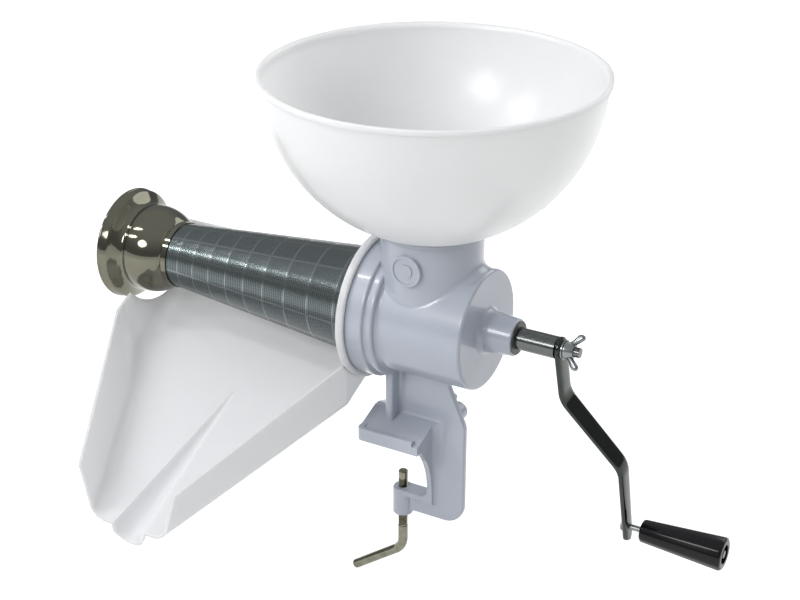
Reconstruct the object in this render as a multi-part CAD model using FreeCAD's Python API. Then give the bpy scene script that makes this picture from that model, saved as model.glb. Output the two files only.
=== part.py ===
import FreeCAD, Part
import math
import os

# Hand cranked tomato strainer: every separate piece is one STEP file in parts/.
# Frame: the origin is on the face that sits on the table, on the axis of the clamp screw.
# +Z is up, +X runs along the barrel towards the crank, and -Y is the side the juice tray leans to.
# All lengths are in millimetres and all angles in degrees.

V = FreeCAD.Vector
X_AXIS = V(1, 0, 0)
Y_AXIS = V(0, 1, 0)
Z_AXIS = V(0, 0, 1)

# Fits between pieces
running_gap = 0.05        # radial gap of a shaft or pin that turns in its hole
loose_gap = 0.3           # gap between pieces that are only put together by hand
washer_gap = 0.2          # radial gap of a washer round its shaft

# Barrel of the housing
axis_height = 112.0       # barrel axis above the table seat
hopper_x = 25.5           # hopper axis, beyond the clamp screw towards the crank
barrel_radius = 49.5
barrel_bore_radius = 44.0
barrel_to_crank_face = 50.4   # hopper axis to the closed end
barrel_to_flange_face = 50.0  # hopper axis to the open end
end_wall = 7.0            # closed end, where the shaft comes out
flange_radius = 57.5
flange_width = 17.5
step_radius = 54.5
step_width = 7.5
flange_edge_round = 1.8   # outer and inner roundings of the two bands together make up their steps
step_edge_round = 2.4
barrel_edge_round = 2.5

# Neck that carries the hopper
neck_radius = 41.4
neck_bore_radius = 37.3
neck_top = 192.4          # height above the table seat
neck_blend = 8.5          # fillet between neck and barrel
neck_bead = 1.1           # the bead round the top stands this far out
neck_bead_height = 4.4
pad_radius = 12.8         # plain round pad on the front of the neck
pad_height = 169.0        # height of its centre
pad_stand_off = 2.8       # how far its face stands in front of the neck
pad_rim_width = 1.8
pad_recess = 0.9

# Boss that carries the shaft
boss_length = 27.0
boss_root_radius = 16.8
boss_end_radius = 15.2
boss_root_round = 4.5
boss_lip_round = 1.6
bush_outer_radius = 12.0
bush_flange_radius = 13.6
bush_flange_thickness = 1.0
seal_outer_radius = 16.0
seal_thickness = 4.0
seal_lip_gap = 0.05

# Leg, table seat, column and jaw of the clamp
rib_near_x = -9.2         # upright rib of the leg, on the side towards the screen
rib_width = 7.0
rib_half_depth = 16.0
rib_edge_round = 2.6
web_fillet = 3.0          # hollow fillets where plates meet the web
seat_near_x = -26.0       # the table seat, from this side
seat_half_depth = 34.5
seat_edge_height = 11.6   # thickness of the seat plate at its front and back edges
seat_root_height = 18.3   # and at the web
seat_corner_round = 5.0
seat_lip_width = 5.0
seat_lip_end = 5.5        # the lip stops this far before the plate's far end
seat_lip_round = 1.0
seat_floor_height = 9.0   # top of the plate just inside the lip
throat_round = 7.0        # inner corner between the throat and the jaw
throat_x = 27.5           # inner wall of the clamp, where the table edge stops
inner_wall = 4.5          # wall that runs round the inside of the clamp
web_half_depth = 3.0
web_blend = 9.0           # largest fillet between the inner wall and the web
column_far_x = 59.0
web_edge_round = 1.6
slant_top_x = 43.8        # the outer edge slants from here under the barrel
slant_top_z = 53.0
slant_foot_z = 18.0       # to the column, at this height
slant_corner_round = 12.0
flare_half_depth = 8.0    # half depth of the inner wall at its foot
flare_foot_z = -50.0
jaw_top = -56.0           # upper face of the lower jaw
jaw_boss_radius = 8.7
jaw_boss_bottom = -82.0
jaw_boss_round = 1.5
jaw_web_bottom = -77.0
jaw_lip_height = 5.5      # raised band along the top of the jaw
jaw_lip_round = 1.5
column_foot_round = 18.0
# Round cast nubs behind the column: (x, height, radius, how far they reach back)
back_nubs = ((46.5, 26.0, 8.2, 12.0), (44.8, 41.0, 2.8, 7.0))
back_nub_round = 1.8

# Clamp screw with its bent handle
screw_radius = 4.0
screw_hole_gap = 0.08
screw_tip_z = -40.7       # top of the swivel tip at rest
tip_height = 6.0
tip_chamfer = 0.6
tip_pin_radius = 2.0
tip_pin_length = 4.0
thread_foot_z = -95.7
rod_radius = 4.2
rod_bend_z = -118.0
rod_bend_radius = 9.0
handle_reach_x = -49.0
handle_reach_z = -154.0

# Screen
screen_sheet = 0.8
screen_big_radius = 45.8
screen_small_radius = 27.5
screen_length = 199.0
screen_rim_radius = 54.5
gasket_thickness = 1.2
gasket_inner_radius = 46.0
band_sheet = 1.0          # rolled ring round the small end of the screen
band_length = 5.0

# Outlet bell on the small end of the screen
bell_sheet = 1.2
bell_ball_radius = 38.6   # the dome is part of a ball
bell_waist_angle = 102.0  # where the ball ends, from the direction of the screen
bell_length = 51.0
bell_flare_radius = 47.6
bell_band = 6.5           # straight band behind the rolled lip
bell_band_taper = 0.5
bell_lip_radius = 1.4

# Juice tray with the ring that goes round the flange
ring_outer_radius = 62.0
ring_wall = 2.2
ring_overlap = 2.5        # how far the ring reaches over the flange
tray_wall = 2.2
tray_floor_round = 12.0    # outer rounding between the floor and the walls
tray_floor_slope = 0.42   # rise per length towards the back
tray_floor_at_axis = -63.0    # floor below the barrel axis, straight under it
tray_rim_slope = 0.43
tray_rim_at_axis = -14.5
tray_back_y = 46.0
tray_turn_y = -47.0       # where the sides start to draw together
tray_mouth_y = -197.0
tray_lean = 7.0           # outward lean of the end and back walls, from floor to rim
mouth_near_x = -104.5     # floor corners at the mouth
mouth_far_x = -176.0
mouth_rim_near_x = -91.5  # rim corners at the mouth
mouth_rim_far_x = -187.0
mouth_rim_y = -197.0
tray_knee_x = -218.5      # knee of the far wall
tray_knee_y = -91.0
tray_rim_knee_x = -254.5
tray_rim_knee_y = -56.0
tray_far_x = -248.0       # end wall under the bell
spout_root_y = -57.0
spout_tip_y = -197.0
spout_root_x = -132.5
spout_tip_x = -141.0
spout_root_radius = 0.6
spout_radius = 14.5
tray_cutout_gap = 8.0     # space between the tray's end wall and the bell

# Hopper
bowl_radius = 132.5
bowl_wall = 2.4
bowl_seat_radius = 41.6   # the bowl's outside where it meets the top of the neck
bowl_rim_width = 2.5
bowl_rim_depth = 5.0
spigot_length = 26.0

# Shaft and auger
shaft_radius = 9.0
shaft_stub = 26.0         # length of shaft inside the auger
thrust_thickness = 2.0
thrust_radius = 20.0
auger_core_radius = 16.0
auger_tip_core_radius = 8.0
auger_flight_radius = 42.0
auger_flight_gap = 1.6    # between the flight and the screen
auger_flight_thickness = 3.5
auger_pitch = 32.0
auger_tip_gap = 3.0       # auger stops this far before the screen's end
drive_pin_radius = 3.0
pin_sink = 0.5            # its ends lie this far below the core's surface
auger_root_sink = 1.5     # the blade reaches this far into the core

# Crank
crank_turn = 16.0         # the arm hangs this far from straight down, towards +Y
arm_x = 136.9             # back face of the arm where it meets the shaft
arm_thickness = 5.4
arm_top_width = 19.0
arm_end_width = 14.0
arm_bend_one = 50.0       # distance from the shaft axis to the first bend
arm_bend_two = 114.5
arm_offset = 46.4         # how far the second bend steps outwards
arm_bend_radius = 9.0
arm_end = 200.0
tang_side = 10.0
tang_gap = 0.1
crank_radius = 185.0      # grip axis to shaft axis
stud_radius = 4.0
stud_length = 14.0
washer_thickness = 1.2
washer_radius = 8.0

# Wing nut
nut_hub_root_radius = 7.0
nut_hub_top_radius = 5.5
nut_hub_height = 8.0
wing_span = 29.0
wing_thickness = 2.6
wing_reach = 14.0         # wing tips stand this far above the washer
wing_round = 3.0
wing_turn = -46.0

# Grip
pin_radius = 2.5
pin_head_radius = 5.0
pin_head_thickness = 2.0
pin_head_round = 1.2
pin_neck_length = 10.6    # bare pin between arm and grip
grip_length = 72.0
grip_inner_radius = 10.0
grip_outer_radius = 14.5
grip_facets = 12
grip_end_round = 2.5
grip_bore_gap = 0.08
grip_recess_radius = 8.0
grip_recess_depth = 7.0
grip_washer_thickness = 1.0
grip_nut_height = 4.5
grip_nut_radius = 5.6

# Places worked out from the sizes above
crank_face_x = hopper_x + barrel_to_crank_face
flange_face_x = hopper_x - barrel_to_flange_face
boss_end_x = crank_face_x + boss_length
end_wall_x = crank_face_x - end_wall
axis_point = V(0, 0, axis_height)
bowl_rim_height = neck_top + math.sqrt(bowl_radius ** 2 - bowl_seat_radius ** 2)


def block(x0, x1, y0, y1, z0, z1):
    return Part.makeBox(x1 - x0, y1 - y0, z1 - z0, V(x0, y0, z0))


def rod_x(x0, x1, radius):
    return Part.makeCylinder(radius, x1 - x0, V(x0, 0, axis_height), X_AXIS)


def tube_x(x0, x1, outer, inner):
    return rod_x(x0, x1, outer).cut(rod_x(x0 - 1, x1 + 1, inner))


def rod_z(x, y, z0, z1, radius):
    return Part.makeCylinder(radius, z1 - z0, V(x, y, z0), Z_AXIS)


def polygon(points):
    return Part.makePolygon(list(points) + [points[0]])


def turned(profile):
    """A closed outline of (x, radius) points, turned round the barrel axis."""
    outline = polygon([V(x, 0, axis_height + radius) for x, radius in profile])
    return Part.Face(outline).revolve(axis_point, X_AXIS, 360)


def arc_edge(centre_x, centre_r, radius, from_angle, to_angle):
    """Part of a circle in the (x, radius) outline of a turned piece; angles in degrees from +X."""
    def at(angle):
        turn = math.radians(angle)
        return V(centre_x + radius * math.cos(turn), 0, axis_height + centre_r + radius * math.sin(turn))
    return Part.Arc(at(from_angle), at((from_angle + to_angle) / 2), at(to_angle)).toShape()


def turned_with_arcs(parts):
    """Turn an outline made of arcs and (x, radius) points; straight lines join what follows."""
    ends = []
    for part in parts:
        if isinstance(part, tuple):
            point = V(part[0], 0, axis_height + part[1])
            ends.append((point, point, None))
        else:
            ends.append((part.valueAt(part.FirstParameter), part.valueAt(part.LastParameter), part))
    edges = []
    for number, (first, last, arc) in enumerate(ends):
        if arc:
            edges.append(arc)
        following = ends[(number + 1) % len(ends)][0]
        if (following - last).Length > 1e-6:
            edges.append(Part.LineSegment(last, following).toShape())
    return Part.Face(Part.Wire(edges)).revolve(axis_point, X_AXIS, 360)


def round_edges(shape, radius, wanted):
    """Fillet each edge that the function wanted picks out."""
    edges = [edge for edge in shape.Edges if wanted(edge)]
    return shape.makeFillet(radius, edges)


def chamfer_edges(shape, size, wanted):
    edges = [edge for edge in shape.Edges if wanted(edge)]
    return shape.makeChamfer(size, edges)


def turn_about_axis(shape, angle):
    turned_shape = shape.copy()
    turned_shape.rotate(axis_point, X_AXIS, angle)
    return turned_shape


def edge_is_circle(edge, axis, radius=None):
    curve = edge.Curve
    if not isinstance(curve, Part.Circle):
        return False
    if abs(abs(curve.Axis.dot(axis)) - 1) > 1e-6:
        return False
    return radius is None or abs(curve.Radius - radius) < 1e-4


def edge_middle(edge):
    return edge.valueAt((edge.FirstParameter + edge.LastParameter) / 2)


def edge_runs_along(edge, axis):
    if not isinstance(edge.Curve, Part.Line):
        return False
    return abs(abs(edge.Curve.Direction.dot(axis)) - 1) < 1e-6


# Housing

def barrel_with_neck():
    barrel = rod_x(flange_face_x, crank_face_x, barrel_radius)
    barrel = round_edges(barrel, barrel_edge_round, lambda e: edge_middle(e).x > crank_face_x - 1)
    neck = rod_z(hopper_x, 0, axis_height, neck_top, neck_radius)
    body = barrel.fuse(neck)

    def is_joint_line(edge):
        middle = edge_middle(edge)
        on_neck = abs(math.hypot(middle.x - hopper_x, middle.y) - neck_radius) < 0.01
        on_barrel = abs(math.hypot(middle.y, middle.z - axis_height) - barrel_radius) < 0.01
        return on_neck and on_barrel
    return round_edges(body, neck_blend, is_joint_line)


def flange_bands():
    """Flange and a lower band behind it; each step is an outer rounding and an inner one."""
    flange_end = flange_face_x + flange_width
    step_end = flange_end + step_width
    outer = flange_edge_round
    inner = flange_radius - step_radius - outer
    low_outer = step_edge_round
    low_inner = step_radius - barrel_radius - low_outer
    return turned_with_arcs([
        (flange_face_x, 0), (flange_face_x, flange_radius),
        arc_edge(flange_end - outer, flange_radius - outer, outer, 90, 0),
        arc_edge(flange_end + inner, step_radius + inner, inner, 180, 270),
        arc_edge(step_end - low_outer, step_radius - low_outer, low_outer, 90, 0),
        arc_edge(step_end + low_inner, barrel_radius + low_inner, low_inner, 180, 270),
        (step_end + low_inner, 0)])


def neck_collar():
    bead_foot = neck_top - neck_bead_height
    bead = rod_z(hopper_x, 0, bead_foot, neck_top, neck_radius + neck_bead)
    return round_edges(bead, neck_bead * 0.9, lambda e: edge_is_circle(e, Z_AXIS))


def neck_pad():
    """Plain round pad with a raised rim, on the front of the neck."""
    face_y = -neck_radius - pad_stand_off
    centre = V(hopper_x, face_y, pad_height)
    depth = neck_radius + pad_stand_off - neck_bore_radius + pad_radius / 2
    pad = Part.makeCylinder(pad_radius, depth, centre, Y_AXIS)
    recess = Part.makeCylinder(pad_radius - pad_rim_width, pad_recess, centre, Y_AXIS)
    button_radius = (pad_radius - pad_rim_width) / 2
    recess = recess.cut(Part.makeCylinder(button_radius, pad_recess, centre, Y_AXIS))
    return pad.cut(recess)


def shaft_boss():
    root = boss_root_round
    lip = boss_lip_round
    return turned_with_arcs([
        (crank_face_x - 1, 0), (crank_face_x - 1, boss_root_radius + root),
        (crank_face_x, boss_root_radius + root),
        arc_edge(crank_face_x + root, boss_root_radius + root, root, 180, 270),
        arc_edge(boss_end_x - lip, boss_end_radius - lip, lip, 90, 0),
        (boss_end_x, 0)])


def web_plate():
    """Flat web in one piece: leg, column and jaw, with its outer edges rounded."""
    foot = seat_edge_height / 2
    web_top = axis_height - barrel_radius / 2
    jaw_web_top = jaw_top - jaw_lip_height / 2
    leg_x = rib_near_x + rib_width / 2
    inside_x = throat_x + inner_wall / 2
    outline = [V(0, 0, jaw_web_bottom), V(column_far_x, 0, jaw_web_bottom), V(column_far_x, 0, slant_foot_z),
               V(slant_top_x, 0, slant_top_z), V(slant_top_x, 0, web_top), V(leg_x, 0, web_top),
               V(leg_x, 0, foot), V(inside_x, 0, foot), V(inside_x, 0, jaw_web_top), V(0, 0, jaw_web_top)]
    plate = Part.Face(polygon(outline)).extrude(V(0, 2 * web_half_depth, 0))
    plate.translate(V(0, -web_half_depth, 0))
    plate = round_edges(plate, column_foot_round, lambda e: edge_runs_along(e, Y_AXIS)
                        and edge_middle(e).x > column_far_x - 1 and edge_middle(e).z < jaw_top)
    plate = round_edges(plate, slant_corner_round, lambda e: edge_runs_along(e, Y_AXIS)
                        and abs(edge_middle(e).z - slant_foot_z) < 0.1)

    def is_outer(edge):
        middle = edge_middle(edge)
        on_face = abs(abs(middle.y) - web_half_depth) < 0.01
        below = middle.z < jaw_web_bottom + 0.1
        return on_face and middle.z < web_top - 1 and (below or middle.x > slant_top_x - 0.1)
    return round_edges(plate, web_edge_round, is_outer)


def seat_slope():
    inner_half = seat_half_depth - seat_lip_width
    return (seat_root_height - seat_floor_height) / (inner_half - web_half_depth)


def under_the_seat_slopes(x0, x1):
    """Room below the two planes in which the seat's upper side falls away from the web."""
    reach = seat_half_depth + 1
    edge_z = seat_root_height - seat_slope() * (reach - web_half_depth)
    outline = [V(x0, -reach, jaw_web_bottom), V(x0, reach, jaw_web_bottom), V(x0, reach, edge_z),
               V(x0, web_half_depth, seat_root_height), V(x0, -web_half_depth, seat_root_height),
               V(x0, -reach, edge_z)]
    return Part.Face(polygon(outline)).extrude(V(x1 - x0, 0, 0))


def seat_plate():
    """Plate on the table, thicker at the web, with a raised lip along three of its edges."""
    far_x = throat_x + inner_wall
    plate = block(seat_near_x, far_x, -seat_half_depth, seat_half_depth, 0, seat_root_height)
    plate = round_edges(plate, seat_corner_round, lambda e: edge_runs_along(e, Z_AXIS)
                        and abs(edge_middle(e).x - seat_near_x) < 0.01)
    lip = plate.common(block(seat_near_x, far_x - seat_lip_end, -seat_half_depth, seat_half_depth,
                             0, seat_edge_height))
    inner_half = seat_half_depth - seat_lip_width
    inside = block(seat_near_x + seat_lip_width, far_x + 1, -inner_half, inner_half,
                   seat_floor_height - seat_lip_width, seat_root_height)
    lip = lip.cut(inside)
    lip = round_edges(lip, seat_lip_round, lambda e: abs(edge_middle(e).z - seat_edge_height) < 0.01
                      and edge_middle(e).x < far_x - seat_lip_end - 0.1)
    return plate.common(under_the_seat_slopes(seat_near_x - 1, far_x)).fuse(lip)


def flare_half_at(height):
    """Half depth of the inner wall: narrow at the jaw, and as deep as the seat at the seat."""
    if height <= flare_foot_z:
        return flare_half_depth
    if height >= seat_edge_height / 2:
        return seat_half_depth
    rise = seat_edge_height / 2 - flare_foot_z
    spread = seat_half_depth - flare_half_depth
    bow = (spread * spread + rise * rise) / (2 * spread)
    up = min(height - flare_foot_z, rise)
    return flare_half_depth + bow - math.sqrt(bow * bow - up * up)


def column_section(height):
    """Outline of the inner wall at one height, with the hollow fillets that lead to the web."""
    wall_x = throat_x + inner_wall
    half = web_half_depth
    depth = flare_half_at(height)
    bend = min(web_blend, depth - half - 0.5)
    sweep = bend * math.sqrt(0.5)
    sink = 0.1
    corners = []
    for sign in (-1, 1):
        corners.append((V(throat_x + 1, sign * depth, height), V(wall_x, sign * depth, height),
                        V(wall_x, sign * (half + bend), height),
                        V(wall_x + bend - sweep, sign * (half + bend - sweep - sink / 2), height),
                        V(wall_x + bend, sign * (half - sink), height)))
    (a, b, c, d, e), (g, h, i, j, k) = corners
    return Part.Wire([Part.LineSegment(a, b).toShape(), Part.LineSegment(b, c).toShape(),
                      Part.Arc(c, d, e).toShape(), Part.LineSegment(e, k).toShape(),
                      Part.Arc(k, j, i).toShape(), Part.LineSegment(i, h).toShape(),
                      Part.LineSegment(h, g).toShape(), Part.LineSegment(g, a).toShape()])


def column():
    """Inner wall of the clamp from the jaw up to the seat's slopes."""
    seat_level = seat_edge_height / 2
    heights = [jaw_top - jaw_lip_height, flare_foot_z]
    steps = 6
    for step in range(1, steps + 1):
        heights.append(flare_foot_z + (seat_level - flare_foot_z) * step / steps)
    flared = Part.makeLoft([column_section(height) for height in heights], True, True)
    upper = Part.Face(column_section(seat_level)).extrude(V(0, 0, seat_root_height - seat_level))
    upper = upper.common(under_the_seat_slopes(throat_x, column_far_x))
    return flared.fuse(upper)


def leg():
    """Upright rib between seat and barrel."""
    foot = seat_edge_height / 2
    rib = block(rib_near_x, rib_near_x + rib_width, -rib_half_depth, rib_half_depth,
                foot, axis_height - barrel_radius / 2)
    return round_edges(rib, rib_edge_round, lambda e: edge_runs_along(e, Z_AXIS))


def clamp_frame():
    """Web, rib, seat and inner wall in one, with hollow fillets where they meet."""
    body = web_plate().fuse([leg(), seat_plate(), column()]).removeSplitter()
    rib_face_x = rib_near_x + rib_width

    def is_root(edge):
        middle = edge_middle(edge)
        at_web = abs(abs(middle.y) - web_half_depth) < 0.02
        along_seat = edge_runs_along(edge, X_AXIS) and abs(middle.z - seat_root_height) < 0.02
        along_rib = edge_runs_along(edge, Z_AXIS) and abs(middle.x - rib_face_x) < 0.02
        return at_web and (along_seat or along_rib)
    return round_edges(body, web_fillet, is_root)


def flare():
    """Inner wall of the column, which widens upwards to the depth of the seat."""
    foot = flare_half_depth
    rise = seat_edge_height / 2 - flare_foot_z
    spread = seat_half_depth - foot
    bow = (spread * spread + rise * rise) / (2 * spread)
    half_angle = math.asin(rise / bow) / 2
    top_z = flare_foot_z + rise

    def on_bow(angle, sign):
        return V(throat_x, sign * (foot + bow - bow * math.cos(angle)), flare_foot_z + bow * math.sin(angle))
    front = V(throat_x, -seat_half_depth, top_z)
    back = V(throat_x, seat_half_depth, top_z)
    edges = [Part.Arc(on_bow(0, -1), on_bow(half_angle, -1), front).toShape(),
             Part.LineSegment(front, back).toShape(),
             Part.Arc(back, on_bow(half_angle, 1), on_bow(0, 1)).toShape(),
             Part.LineSegment(on_bow(0, 1), V(throat_x, foot, jaw_top)).toShape(),
             Part.LineSegment(V(throat_x, foot, jaw_top), V(throat_x, -foot, jaw_top)).toShape(),
             Part.LineSegment(V(throat_x, -foot, jaw_top), on_bow(0, -1)).toShape()]
    return Part.Face(Part.Wire(edges)).extrude(V(inner_wall, 0, 0))


def jaw():
    boss = rod_z(0, 0, jaw_boss_bottom, jaw_top, jaw_boss_radius)
    boss = round_edges(boss, jaw_boss_round, lambda e: edge_is_circle(e, Z_AXIS, jaw_boss_radius))
    lip = block(0, throat_x + inner_wall / 2, -flare_half_depth, flare_half_depth,
                jaw_top - jaw_lip_height, jaw_top)
    lip = round_edges(lip, jaw_lip_round, lambda e: edge_runs_along(e, X_AXIS))
    corner = throat_x - throat_round
    fill = block(corner, throat_x + 2, -flare_half_depth, flare_half_depth, jaw_top - 1,
                 jaw_top + throat_round)
    round_room = Part.makeCylinder(throat_round, 4 * flare_half_depth,
                                   V(corner, -2 * flare_half_depth, jaw_top + throat_round), Y_AXIS)
    return boss.fuse([lip, fill.cut(round_room)])


def housing():
    body = barrel_with_neck()
    nubs = []
    for x, height, radius, reach in back_nubs:
        nub = Part.makeCylinder(radius, reach, V(x, 0, height), Y_AXIS)
        nubs.append(round_edges(nub, back_nub_round, lambda e: edge_is_circle(e, Y_AXIS)
                                and edge_middle(e).y > 1))
    body = body.fuse([flange_bands(), neck_collar(), neck_pad(), shaft_boss(), clamp_frame(), flare(),
                      jaw()] + nubs)
    bores = [rod_x(flange_face_x - 1, end_wall_x, barrel_bore_radius),
             rod_z(hopper_x, 0, axis_height, neck_top + 1, neck_bore_radius),
             rod_x(end_wall_x - 1, boss_end_x + 1, bush_outer_radius),
             rod_x(end_wall_x - 1, end_wall_x + seal_thickness, seal_outer_radius),
             rod_z(0, 0, jaw_boss_bottom - 1, jaw_top + 1, screw_radius + screw_hole_gap)]
    for bore in bores:
        body = body.cut(bore)
    return body.removeSplitter()


# Pieces in and on the barrel

def shaft_bush():
    x0 = end_wall_x + seal_thickness
    flange_end = boss_end_x + bush_flange_thickness
    bush = rod_x(x0, boss_end_x, bush_outer_radius).fuse(rod_x(boss_end_x, flange_end, bush_flange_radius))
    return bush.cut(rod_x(x0 - 1, flange_end + 1, shaft_radius + running_gap))


def shaft_seal():
    return tube_x(end_wall_x, end_wall_x + seal_thickness, seal_outer_radius, shaft_radius + seal_lip_gap)


def screen_x(distance):
    """Place along the barrel axis, so far from the screen's big end."""
    return flange_face_x - gasket_thickness - distance


def screen_radius_at(distance):
    share = distance / screen_length
    return screen_big_radius + (screen_small_radius - screen_big_radius) * share


def screen_gasket():
    return tube_x(flange_face_x - gasket_thickness, flange_face_x, screen_rim_radius, gasket_inner_radius)


def screen_cone():
    sheet = screen_sheet
    return turned([(screen_x(0), screen_rim_radius), (screen_x(sheet), screen_rim_radius),
                   (screen_x(sheet), screen_big_radius), (screen_x(screen_length), screen_small_radius),
                   (screen_x(screen_length), screen_small_radius - sheet),
                   (screen_x(0), screen_big_radius - sheet)])


def screen_end_band():
    """Rolled ring that joins the small end of the screen to the bell."""
    start = screen_length - band_length
    inner_start = screen_radius_at(start)
    inner_end = screen_small_radius
    return turned([(screen_x(start), inner_start), (screen_x(start), inner_start + band_sheet),
                   (screen_x(screen_length), inner_start + band_sheet),
                   (screen_x(screen_length), inner_end)])


def bell_points():
    """Outline of the bell from the screen's end: a ball shaped dome, a waist and a wide flare."""
    start_x = screen_x(screen_length)
    start_r = screen_small_radius + band_sheet
    ball = bell_ball_radius
    centre_x = start_x - math.sqrt(ball * ball - start_r * start_r)
    first = math.acos((start_x - centre_x) / ball)
    last = math.radians(bell_waist_angle)
    steps = 12
    points = []
    for step in range(steps + 1):
        angle = first + (last - first) * step / steps
        points.append((centre_x + ball * math.cos(angle), ball * math.sin(angle)))
    waist_x, waist_r = points[-1]
    end_x = start_x - bell_length
    band_x = end_x + bell_band
    for share, rise in ((0.25, 0.06), (0.5, 0.30), (0.75, 0.66), (0.92, 0.93)):
        points.append((waist_x + (band_x - waist_x) * share, waist_r + (bell_flare_radius - waist_r) * rise))
    points += [(band_x - bell_band_taper, bell_flare_radius + bell_band_taper),
               (end_x, bell_flare_radius + bell_band_taper)]
    return points


def outlet_bell():
    outer = bell_points()
    inner = [(x, radius - bell_sheet) for x, radius in outer]
    # the dome's wall keeps its thickness where it is steep
    inner[0] = (outer[0][0], outer[0][1] - 2 * bell_sheet)
    return turned(outer + inner[::-1])


def bell_lip():
    """Rolled edge round the bell's mouth."""
    start_x = screen_x(screen_length) - bell_length
    centre = V(start_x - bell_lip_radius, 0, axis_height + bell_flare_radius)
    circle = Part.Circle(centre, Y_AXIS, bell_lip_radius)
    return Part.Face(Part.Wire(circle.toShape())).revolve(axis_point, X_AXIS, 360)


# Juice tray

def tray_floor_z(y):
    return axis_height + tray_floor_at_axis + tray_floor_slope * y


def tray_rim_z(y):
    return axis_height + tray_rim_at_axis + tray_rim_slope * y


def ring_faces():
    """Both faces of the ring along the barrel: over the flange, and behind the screen's rim."""
    front = flange_face_x + ring_overlap
    back = flange_face_x - gasket_thickness - screen_sheet - ring_wall
    return front, back


def inset_outline(points, distances):
    """Move each side of a closed outline inwards by its own distance; corners stay sharp."""
    count = len(points)
    lines = []
    for number in range(count):
        (ax, ay), (bx, by) = points[number], points[(number + 1) % count]
        along = V(bx - ax, by - ay, 0)
        along.normalize()
        inward = V(along.y, -along.x, 0)
        lines.append((V(ax, ay, 0) + inward * distances[number], along))
    corners = []
    for number in range(count):
        (start, along), (next_start, next_along) = lines[number - 1], lines[number]
        across = V(next_along.y, -next_along.x, 0)
        reach = (next_start - start).dot(across) / along.dot(across)
        corner = start + along * reach
        corners.append((corner.x, corner.y))
    return corners


def tray_hull(inset, lift, past):
    """Solid between floor and rim; inset thins it, lift raises its floor, past opens the mouth."""
    side_x = ring_faces()[1] + ring_wall
    back_y = tray_back_y
    lean = tray_lean
    floor = [(side_x, back_y), (side_x, tray_turn_y), (mouth_near_x, tray_mouth_y),
             (mouth_far_x, tray_mouth_y), (tray_knee_x, tray_knee_y), (tray_far_x, tray_turn_y),
             (tray_far_x, back_y)]
    rim = [(side_x, back_y + lean), (side_x, tray_turn_y), (mouth_rim_near_x, mouth_rim_y),
           (mouth_rim_far_x, mouth_rim_y), (tray_rim_knee_x, tray_rim_knee_y),
           (tray_far_x - lean, tray_turn_y), (tray_far_x - lean, back_y + lean)]
    distances = [inset, inset, -past, inset, inset, inset, inset]
    low = []
    high = []
    above = 2 * tray_wall if lift else 0
    for (fx, fy), (rx, ry) in zip(inset_outline(floor, distances), inset_outline(rim, distances)):
        foot = V(fx, fy, tray_floor_z(fy))
        edge = V(rx, ry, tray_rim_z(ry))
        rise = edge - foot
        low.append(foot + rise * (lift / (rise.z - tray_floor_slope * rise.y)))
        high.append(edge + rise * (above / (rise.z - tray_rim_slope * rise.y)))
    hull = Part.makeLoft([polygon(low), polygon(high)], True, True)

    def is_floor_corner(edge):
        middle = edge_middle(edge)
        on_floor = abs(middle.z - tray_floor_z(middle.y) - lift) < 0.01
        return on_floor and middle.y > tray_mouth_y + 1
    return round_edges(hull, tray_floor_round - inset, is_floor_corner)


def spout_cone(extra, past):
    """Round channel that starts on the floor and widens towards the mouth."""
    root = V(spout_root_x, spout_root_y, tray_floor_z(spout_root_y) + tray_wall)
    tip = V(spout_tip_x, spout_tip_y, tray_floor_z(spout_tip_y) + tray_wall)
    along = tip - root
    stretch = (along.Length + past) / along.Length
    mouth_radius = spout_root_radius + (spout_radius - spout_root_radius) * stretch
    return Part.makeCone(spout_root_radius + extra, mouth_radius + extra, along.Length * stretch, root, along)


def below_floor():
    """Room under the tray's floor, up to its mouth, where the lower half of the channel hangs down."""
    x0 = spout_tip_x - 2 * spout_radius
    depth = 3 * spout_radius
    corners = [V(x0, spout_root_y, tray_floor_z(spout_root_y) + tray_wall),
               V(x0, tray_mouth_y, tray_floor_z(tray_mouth_y) + tray_wall),
               V(x0, tray_mouth_y, tray_floor_z(tray_mouth_y) - depth),
               V(x0, spout_root_y, tray_floor_z(spout_root_y) - depth)]
    return Part.Face(polygon(corners)).extrude(V(4 * spout_radius, 0, 0))


def chute_ring():
    """Ring round the flange, whose shoulder holds the screen's rim against the barrel."""
    front, back = ring_faces()
    ring = tube_x(back, front, ring_outer_radius, flange_radius + loose_gap)
    return ring.fuse(tube_x(back, back + ring_wall, ring_outer_radius, screen_big_radius + 3 * loose_gap))


def chute():
    """Sloping tray with its channel; its side by the ring is moulded to the ring."""
    front, back = ring_faces()
    past = 2 * spout_radius   # the cuts run this far out of the mouth
    channel = spout_cone(tray_wall, 2 * tray_wall).common(below_floor())
    tray = tray_hull(0, 0, 0).fuse(channel)
    tray = tray.cut([tray_hull(tray_wall, tray_wall, past), spout_cone(0, past)])
    reach = ring_outer_radius
    ring_room = rod_x(back, front + reach, ring_outer_radius)
    screen_room = rod_x(back - reach, front + reach, screen_big_radius + 3 * loose_gap)
    bell_room = rod_x(tray_far_x - reach, tray_far_x + reach / 2, bell_ball_radius + tray_cutout_gap)
    return tray.cut([ring_room, screen_room, bell_room]).removeSplitter()


# Hopper

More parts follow.
